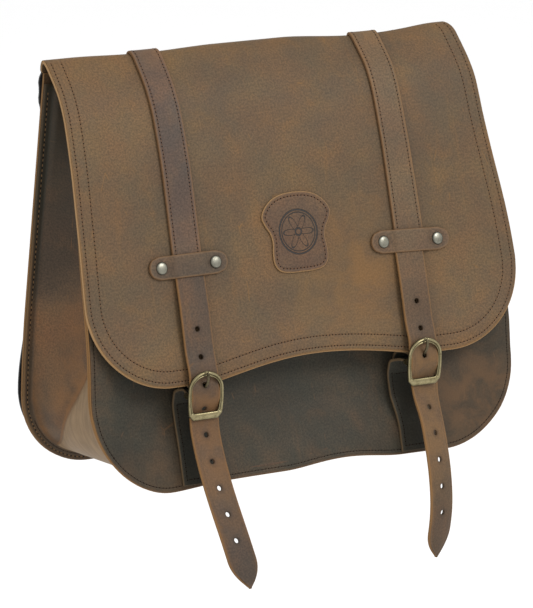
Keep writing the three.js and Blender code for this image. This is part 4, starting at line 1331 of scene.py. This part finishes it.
class GridSurface:
    """A surface known at a grid of middle points; a place on it is a width across and an arc along."""

    def __init__(self, middle, side):
        self.middle = middle
        step = np.linalg.norm(np.diff(middle, axis=1), axis=2)
        self.width = np.hstack([np.zeros((len(middle), 1)), np.cumsum(step, axis=1)])
        self.arc = lengths_along(middle[:, 0])
        normal = unit(np.cross(np.gradient(middle, axis=1), np.gradient(middle, axis=0)))
        if normal[len(middle) // 3, middle.shape[1] // 2, 0] * side < 0:
            normal = -normal
        self.normal = normal

    def one(self, row, width):
        j = int(np.clip(np.searchsorted(self.width[row], width) - 1, 0, self.middle.shape[1] - 2))
        s = (width - self.width[row, j]) / (self.width[row, j + 1] - self.width[row, j])
        return (self.middle[row, j] * (1 - s) + self.middle[row, j + 1] * s,
                self.normal[row, j] * (1 - s) + self.normal[row, j + 1] * s)

    def place(self, width, arc, lift):
        """A negative width counts back from the far edge."""
        width, arc, lift = np.broadcast_arrays(*(np.asarray(v, float) for v in (width, arc, lift)))
        out = np.zeros((width.size, 3))
        for k, (w, a, up) in enumerate(zip(width.ravel(), arc.ravel(), lift.ravel())):
            i = int(np.clip(np.searchsorted(self.arc, a) - 1, 0, len(self.arc) - 2))
            t = (a - self.arc[i]) / (self.arc[i + 1] - self.arc[i])
            ends = [self.one(r, w if w >= 0 else self.width[r, -1] + w) for r in (i, i + 1)]
            point = ends[0][0] * (1 - t) + ends[1][0] * t
            normal = ends[0][1] * (1 - t) + ends[1][1] * t
            out[k] = point + normal / max(np.linalg.norm(normal), 1e-9) * up
        return out.reshape(width.shape + (3,))


def crease_place(arc, corner_start):
    """Where across the wall the gusset is creased: by the rear flange low down, by the front one above."""
    share = (corner_start + 62 - arc) / 146
    return np.sign(share) * np.abs(share) ** 0.75


def gusset_section(rear_depth, front_depth, arc, corner_start):
    """The gusset's middle line at a station, as (inset, depth): flange, bend, wall, bend, flange."""
    bend, wall_count = 3.5, 30
    quarter = np.linspace(0, math.pi / 2, 5)[1:]
    rear = [(0.2, rear_depth), (3.0, rear_depth), (FLANGE - bend, rear_depth)]
    rear += [(FLANGE - bend + bend * math.sin(a), rear_depth + bend - bend * math.cos(a)) for a in quarter]
    fore = [(inset, front_depth - (depth - rear_depth)) for inset, depth in rear][::-1]
    crease_at = crease_place(arc, corner_start)
    slack = 16 * smooth((corner_start - arc + 40) / 110)
    wall = []
    for k in range(1, wall_count):
        u = k / wall_count
        sunk = slack * math.sin(math.pi * u) ** 0.9
        if 0 < crease_at < 1:
            sunk += 4.0 * math.exp(-((u - crease_at) / 0.08) ** 2) * math.sin(math.pi * crease_at) ** 0.6
        wall.append((FLANGE + sunk, rear[-1][1] + (fore[0][1] - rear[-1][1]) * u))
    return np.array(rear + wall + fore)


def gusset_marks(surface, corner_start):
    """A gusset's looks: its crease with a painted floor reflection beside it, painted shade on its rear
    flange and under the lid at its top, and lighter places about the corner: worn low on the fold, painted
    light towards the lower front.
    """

    def fold(px, pl):
        total = np.interp(pl, surface.arc, surface.width[:, -1])
        sharpness = 0.35 + 0.65 * smooth((pl - corner_start + 5) / 45)
        return (px - 10 - crease_place(pl, corner_start) * (total - 20)) * sharpness

    def fold_here(px, pl):
        total = np.interp(pl, surface.arc, surface.width[:, -1])
        on_wall = smooth((px - 8) / 4) * smooth((total - 8 - px) / 4)
        return on_wall * smooth((pl - corner_start + 100) / 75)

    def shade(px, pl):
        # painted shade: on the rear flange, and under the lid at the top
        return np.clip(0.5 * (1 - smooth((px - 7) / 4)) + 0.7 * smooth((190 - pl) / 170), 0, 0.85)

    def wear(px, pl):
        low_fold = 0.6 * bump((px - 13) / 12) * bump((pl - corner_start - 10) / 60)
        # lighter towards the lower front: painted light
        return low_fold + 0.4 * smooth((px - 22) / 25) * bump((pl - corner_start + 30) / 95)

    return dict(fold=fold, fold_here=fold_here, shade=shade, wear=wear)


def make_gussets():
    back = outline(back_half, BOTTOM, BACK_CORNER, TOP - 20, GUSSET_SIDE, GUSSET_CORNER, GUSSET_FLOOR)
    front = outline(front_half, BOTTOM, FRONT_CORNER, FRONT_TOP - 2, GUSSET_SIDE, GUSSET_CORNER, GUSSET_FLOOR)
    arc = np.r_[0, np.cumsum(np.hypot(*np.diff(back[:, :2], axis=0).T))]
    corner_start = arc[GUSSET_SIDE - 1]
    rear_depth = BACK_DEPTH + PANEL_LEATHER * 1.5
    lengths = np.interp(front[:, 1], FRONT_EDGE.points[::-1, 1], FRONT_EDGE.lengths[::-1])
    front_depth = on_front(front[:, 0], lengths, -PANEL_LEATHER - 0.1)[:, 1]
    sections = np.array([gusset_section(rear_depth, fore, at, corner_start)
                         for fore, at in zip(front_depth, arc)])
    inset, depth = sections[..., 0], sections[..., 1]
    way = (depth - rear_depth) / (depth[:, -1:] - rear_depth)
    mixed = back[:, None, :] + (front - back)[:, None, :] * way[..., None]
    size = np.hypot(mixed[..., 2], mixed[..., 3])
    for side_name, side in SIDES:
        x = mixed[..., 0] - mixed[..., 2] / size * inset
        z = mixed[..., 1] - mixed[..., 3] / size * inset
        floor = smooth((arc - corner_start - 60) / 60)[:, None]
        z = z + front_droop(side * x) * floor * way ** 2
        middle = np.stack([side * x, depth, z], -1)
        lap = 1.7 if side > 0 else -1.5
        middle[-4:, :, 2] += lap * np.linspace(0.3, 1, 4)[:, None]
        surface = GridSurface(middle, side)
        along = np.repeat(surface.arc[:, None], middle.shape[1], 1)
        sheet = Sheet(f"gusset_{side_name}_leather", surface.width, along, surface.place, PANEL_LEATHER)

        obj = sheet.build([GUSSET_LEATHER], offset=(side * 300, 3000), rows=(GUSSET_ROW, NO_ROW),
                          **gusset_marks(surface, corner_start))
        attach(obj, "bag")
        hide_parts(f"gusset_{side_name}")
        last = len(arc) - 3
        runs = [np.array([(w, a) for a in surface.arc[1:last]]) for w in (GUSSET_ROW, -GUSSET_ROW)]
        sewn = stitches(f"gusset_{side_name}_stitches", runs, surface.place, PANEL_LEATHER / 2,
                        [PALE_THREAD, NEEDLE_HOLE_SHADE], pitch=4.4, bold=1.3)
        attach(sewn, "bag")
        second = [np.array([(SECOND_ROW, a) for a in surface.arc[GUSSET_SIDE + 6:last]])]
        again = stitches(f"gusset_{side_name}_second_row", second, surface.place, PANEL_LEATHER / 2,
                         [DARK_THREAD, DARK_THREAD], pitch=4.4)
        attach(again, "bag")


# ------------------------------------------------------------------------------------------------
# Buckle tabs and buckles
# ------------------------------------------------------------------------------------------------
def front_at(x, z, lift):
    """A point off the front panel's outer face at a height near x, as (depth, height)."""
    length = FRONT_EDGE.length_at_height(z, 60)
    p = on_front(np.array(float(x)), np.array(length), PANEL_LEATHER / 2 + lift)
    return float(p[1]), float(p[2])


TONGUE_HALF = 10.5
TAB_LEAN = {"left": -1.5, "right": -6.0}     # how far the sewn end lies off the middle of the buckle
BOX_HALF = TAB_WIDTH / 2 - 4   # the box of stitches that holds the tab


def tab_spine(side_name):
    """The tab's side view and the point of its fold that lies farthest forward.

    It runs up behind itself, over and round the bar, and down in front to the bottom seam."""
    centre, bar_depth, bar_z = BAR[side_name]
    lift = 0.2 + STRAP_LEATHER / 2
    behind = [front_at(centre, z, lift) for z in np.linspace(TAB_TOP - 30, TAB_TOP - 1, 5)]
    root_depth, root_z = behind[-1]
    loop_radius = BAR_RADIUS + 0.35 + STRAP_LEATHER / 2
    up = [(root_depth + 0.6, root_z + 9), (root_depth + 2.2, root_z + 16), (root_depth + 6.5, root_z + 20.6),
          (bar_depth - 6.5, bar_z + 6.2)]
    around = [(bar_depth + loop_radius * math.cos(a), bar_z + loop_radius * math.sin(a))
              for a in np.linspace(math.radians(112), math.radians(-118), 9)]
    down = [(bar_depth - 7.5, bar_z - 1.2), (root_depth + 8.8, root_z + 13.6),
            (root_depth + 5.6, root_z + 11.8), (root_depth + 4.4, root_z + 7.5)]
    fore = [front_at(centre, TAB_TOP - drop, lift + raised)
            for drop, raised in ((2, 3.1), (12, 2.8), (24, 2.7), (34, 2.0), (50, 0.5), (68, 0.1))]
    nose = np.array([bar_depth + loop_radius, bar_z])
    return Profile(catmull(behind + up + around + down + fore, 12)), nose


def make_tabs():
    slot_half = 9.5
    for side_name, side in SIDES:
        centre = BAR[side_name][0]
        spine, nose = tab_spine(side_name)
        bar_at = spine.lengths[int(np.argmin(np.hypot(*(spine.points - nose).T)))]
        sewn_from = spine.length_at_height(TAB_TOP, bar_at)
        total = spine.length
        rows = [0.0]
        for target in (bar_at - slot_half, bar_at + slot_half, total):
            steps = max(2, int((target - rows[-1]) / 1.4))
            rows += [rows[-1] + (target - rows[-1]) * (k + 1) / steps for k in range(steps)]
        rows = np.array(rows)
        # narrow round the bar, with a round shoulder where it widens to the sewn part
        into = np.clip((rows - sewn_from + 15.5) / 6.0, 0, 1)
        half = TONGUE_HALF + (TAB_WIDTH / 2 - TONGUE_HALF) * np.sqrt(into * (2 - into))
        across = np.array([-1, -0.9, -0.72, -0.5, -0.3, -0.19, 0, 0.19, 0.3, 0.5, 0.72, 0.9, 1.0])
        x = half[:, None] * across[None, :]
        length = np.repeat(rows[:, None], len(across), 1)
        r0 = int(np.argmin(np.abs(rows - (bar_at - slot_half))))
        r1 = int(np.argmin(np.abs(rows - (bar_at + slot_half))))
        hole = dict(rows=(r0, r1), columns=(5, 7), centre=(0, bar_at), half=(1.9, slot_half - 1.2))

        def place(px, pl, lift_by, spine=spine, centre=centre, side_name=side_name):
            d, z = spine.lifted(pl, lift_by)
            lean = TAB_LEAN[side_name] * smooth((BAR[side_name][1] - 4 - spine.at(pl)[0]) / 9)
            return np.stack([centre + lean + px, d, z], -1)

        tab = Sheet(f"tab_{side_name}_leather", x, length, place, STRAP_LEATHER, holes=[hole])

        def boxed(px, pl, sewn_from=sewn_from):
            return 0.4 * smooth((BOX_HALF + 0.5 - np.abs(px)) / 1.0) * smooth((pl - sewn_from) / 1.0)

        obj = tab.build([TAB_LEATHER], offset=(1700 + 130 * side, 0), shade=boxed)
        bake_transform(obj)
        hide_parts(f"buckle_tab_{side_name}", f"buckle_tongue_{side_name}")
        top_row, low_row = sewn_from + 1, total - 5
        box = np.array([(-BOX_HALF, low_row), (-BOX_HALF, top_row), (BOX_HALF, top_row), (BOX_HALF, low_row),
                        (-BOX_HALF, low_row)])
        sewn_rows = stitches(f"tab_{side_name}_stitches", [densify(box, 1.0)], place, STRAP_LEATHER / 2,
                             [DARK_THREAD, NEEDLE_HOLE_SHADE], pitch=3.6)
        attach(sewn_rows, "bag")


def densify(path, spacing):
    out = [path[0]]
    for a, b in zip(path, path[1:]):
        count = max(1, int(np.linalg.norm(b - a) / spacing))
        out += [a + (b - a) * (k + 1) / count for k in range(count)]
    return np.array(out)


def buckle_outline(half_width, top, bottom, chamfer, shoulder=5.0, belly=0.6, foot=0.9):
    """A horseshoe: round top, bowed sides drawn in a little below, flat bottom with cut corners."""
    points = [(-half_width + foot + chamfer, bottom), (half_width - foot - chamfer, bottom)]
    low = bottom + chamfer
    for t in np.linspace(0, 1, 24):
        points.append((half_width - foot * (1 - t) + 4 * belly * t * (1 - t), low + (shoulder - low) * t))
    for a in np.linspace(0, math.pi / 2, 45)[1:]:
        points.append((half_width * math.cos(a), shoulder + (top - shoulder) * math.sin(a)))
    points += [(-x, z) for x, z in points[:1:-1][1:]]
    return densify(np.array(points + points[:1]), 0.25)


def frame_section():
    """Across the frame from its inner edge to its outer: share of the way, front height, how dark it is."""
    return [(0, 0.3, 0.9), (0.02, 0.7, 0.6), (0.08, 0.98, 0.2), (0.15, 1.05, 0.0), (0.22, 0.9, 0.45),
            (0.28, 0.62, 1.0), (0.34, 0.7, 0.95), (0.42, 1.15, 0.5), (0.51, 1.55, 0.1), (0.61, 1.75, 0.0),
            (0.72, 1.72, 0.0), (0.83, 1.45, 0.15), (0.93, 0.95, 0.5), (0.99, 0.35, 0.8)]


def make_frame(side_name, angles, inner, outer, ring):
    """The brass frame: its section carried round the bar's middle, with a round bottom bar and a notch."""
    bar_x, bar_depth, bar_z = BAR[side_name]
    vertices, recess_shade = [], []
    for k, a in enumerate(angles):
        bottom_bar = float(smooth((-math.sin(a) * inner[k] - 12.8) / 1.6))
        for u, h, dark in ring:
            reach = inner[k] + (outer[k] - inner[k]) * u
            px, pz = reach * math.cos(a), reach * math.sin(a)
            round_bar = math.copysign(0.45 + 1.3 * math.sqrt(max(0.0, 1 - (2 * u - 1) ** 2)), h)
            height = h * (1 - bottom_bar) + round_bar * bottom_bar
            dark_here = dark * (1 - bottom_bar) + 0.8 * abs(2 * u - 1) ** 3 * bottom_bar
            notch = float(bump(px / 2.6) * smooth((pz - 12) / 3))
            if h > 0:
                height -= notch * 0.9
            vertices.append((bar_x + px, bar_depth + FRAME_OFFSET + height, bar_z + pz))
            recess_shade.append(max(dark_here, notch * 0.6))
    faces = []
    loops = [range(i, len(vertices), len(ring)) for i in range(len(ring))]
    for loop, following in zip(loops, loops[1:] + loops[:1]):
        faces += band(loop, following)
    obj = make_object(f"buckle_{side_name}_frame", vertices, faces, [BRASS], values={"recess_shade": recess_shade})
    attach(obj, f"frame_{side_name}")
    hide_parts(f"buckle_frame_{side_name}")


def make_buckles():
    angles = np.linspace(-math.pi, math.pi, 220, endpoint=False)
    outer = radius_at(buckle_outline(17.3, FRAME_HALF_HEIGHT, -FRAME_HALF_HEIGHT, 4.4), angles)
    inner = radius_at(buckle_outline(13.9, 16.6, -14.8, 1.6, foot=1.2), angles)
    section = frame_section()
    # the back of the frame takes half painted shade
    ring = section + [(u, -h * 0.85, 0.5) for u, h, _ in section[::-1]]
    eased = 0.4
    rod = [(0, -BAR_HALF), (BAR_RADIUS - eased / 2, -BAR_HALF), (BAR_RADIUS, eased - BAR_HALF),
           (BAR_RADIUS, BAR_HALF - eased), (BAR_RADIUS - eased / 2, BAR_HALF), (0, BAR_HALF)]
    for side_name, _ in SIDES:
        make_frame(side_name, angles, inner, outer, ring)
        centre = BAR[side_name]
        bar = lathe(f"buckle_{side_name}_bar", rod, centre, (1, 0, 0), BRASS, 24)
        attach(bar, f"frame_{side_name}")
        for lug_name, lug_side in SIDES:
            lug = lug_piece(f"buckle_{side_name}_lug_{lug_name}", centre + np.array([lug_side * 15.7, 0, 0]))
            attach(lug, f"frame_{side_name}")
        make_prong_eye(side_name, centre)
        make_prong_pin(side_name, centre)


def lug_piece(name, at):
    """The cheek that joins the bar's end to the frame in front of it."""
    front = FRAME_OFFSET + 0.6
    cheek = [(2.3 * math.cos(a), 2.3 * math.sin(a)) for a in np.linspace(math.pi / 2, 1.5 * math.pi, 9)]
    cheek += [(FRAME_OFFSET, -2.6), (front, -2.2), (front, 2.2), (FRAME_OFFSET, 2.6)]
    vertices = []
    for x_off, grow in ((-1.3, 0.82), (-1.1, 1), (1.1, 1), (1.3, 0.82)):
        vertices += [(at[0] + x_off, at[1] + d * grow, at[2] + z * grow) for d, z in cheek]
    return make_object(name, vertices, tube(rings_of(4, len(cheek))), [BRASS])


def make_prong_eye(side_name, centre):
    """The prong's eye: a flat ring round the bar, with eased corners."""
    vertices = []
    segments = 28
    for x_off, bore, outside in ((-1.9, 1.75, 2.9), (-1.6, 1.6, 3.2), (1.6, 1.6, 3.2), (1.9, 1.75, 2.9)):
        for radius in (bore, outside):
            vertices += [(centre[0] + x_off, centre[1] + radius * cos, centre[2] + radius * sin)
                         for cos, sin in circle(segments)]
    rings = rings_of(8, segments)
    inside, outside = rings[0::2], [ring[::-1] for ring in rings[1::2]]
    faces = band(inside[0][::-1], outside[0]) + band(inside[-1], outside[-1][::-1])
    for k in range(3):
        faces += band(inside[k], inside[k + 1]) + band(outside[k], outside[k + 1])
    eye = make_object(f"prong_{side_name}_eye", vertices, faces, [PRONG_METAL])
    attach(eye, f"prong_{side_name}")


def make_prong_pin(side_name, centre):
    """The prong's pin: tapered and bent, up through the strap to the frame's notch."""
    spine = catmull([(1.4, 2.2), (2.9, 5), (6.6, 9), (9.0, 13.5), (9.3, 18), (8.6, 21)], 8)
    sides = 20
    vertices = []
    for k, (d, z) in enumerate(spine):
        before, after = spine[max(0, k - 1)], spine[min(len(spine) - 1, k + 1)]
        tangent = (after - before) / np.linalg.norm(after - before)
        normal = np.array([tangent[1], -tangent[0]])
        t = k / (len(spine) - 1)
        r = (1.55 - 0.45 * t) * math.sqrt(max(0.06, 1 - max(0, t - 0.9) ** 2 / 0.0102))
        for cos, sin in circle(sides):
            off = normal * sin * r * 0.85
            vertices.append((centre[0] + cos * r, centre[1] + d + off[0], centre[2] + z + off[1]))
    faces = tube(rings_of(len(spine), sides))
    pin = make_object(f"prong_{side_name}_pin", vertices, faces, [PRONG_METAL])
    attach(pin, f"prong_{side_name}")
    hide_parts(f"buckle_prong_{side_name}")


# ------------------------------------------------------------------------------------------------
# Camera, light and floor
# ------------------------------------------------------------------------------------------------
def make_camera():
    azimuth, elevation, roll = math.radians(32), math.radians(11.5), math.radians(1.6)
    distance, aim_right, aim_down = 4.325, 0.0199, 0.229       # metres, from the top of the lid
    away = Vector((-math.sin(azimuth) * math.cos(elevation), -math.cos(azimuth) * math.cos(elevation),
                   math.sin(elevation)))
    right = Vector((math.cos(azimuth), -math.sin(azimuth), 0))
    up = away.cross(right)
    lid_top = Vector((0, 0, TOP * MM))
    position = lid_top + away * distance
    target = lid_top + right * aim_right - up * aim_down
    camera = bpy.data.objects.new("camera", bpy.data.cameras.new("camera"))
    bpy.context.scene.collection.objects.link(camera)
    camera.data.sensor_fit = "VERTICAL"
    camera.data.sensor_height = 36
    camera.data.lens = 296
    camera.data.clip_end = 50
    forward = (target - position).normalized()
    side = forward.cross(Vector((0, 0, 1))).normalized()
    top = side.cross(forward)
    turned_side = side * math.cos(roll) + top * math.sin(roll)
    turned_top = top * math.cos(roll) - side * math.sin(roll)
    rotation = Matrix((turned_side, turned_top, -forward)).transposed().to_4x4()
    camera.matrix_world = Matrix.Translation(position) @ rotation
    bpy.context.scene.camera = camera


def area_light(name, position, size, energy):
    """A round soft light that faces the bag's middle."""
    light = bpy.data.objects.new(name, bpy.data.lights.new(name, "AREA"))
    light.data.shape = "DISK"
    light.data.size = size
    light.data.energy = energy
    light.location = position
    light.rotation_euler = (-Vector(position)).to_track_quat("-Z", "Y").to_euler()
    bpy.context.scene.collection.objects.link(light)


def make_studio():
    size, drop = 12.0, 0.62
    floor = bpy.data.meshes.new("floor")
    corners = [(x, y, -drop) for x, y in ((-size, -size), (size, -size), (size, size), (-size, size))]
    floor.from_pydata(corners, [], [(0, 1, 2, 3)])
    floor.materials.append(Nodes("floor_white").finish(Base_Color=(0.9, 0.9, 0.9, 1), Roughness=0.9))
    plane = bpy.data.objects.new("floor", floor)
    bpy.context.scene.collection.objects.link(plane)
    world = bpy.data.worlds.new("studio")
    world.use_nodes = True
    world.node_tree.nodes["Background"].inputs["Color"].default_value = (1, 1, 1, 1)
    world.node_tree.nodes["Background"].inputs["Strength"].default_value = 1.05
    bpy.context.scene.world = world
    area_light("key", (1.2, -2.4, 2.2), 1.6, 62)
    area_light("fill", (-2.6, -1.6, 0.9), 2.0, 14)
    bpy.context.scene.view_settings.view_transform = "Standard"


make_lid()
make_lid_straps()
make_keepers()
make_badge()
make_billets()
make_back()
make_front()
make_gussets()
make_tabs()
make_buckles()
make_camera()
make_studio()
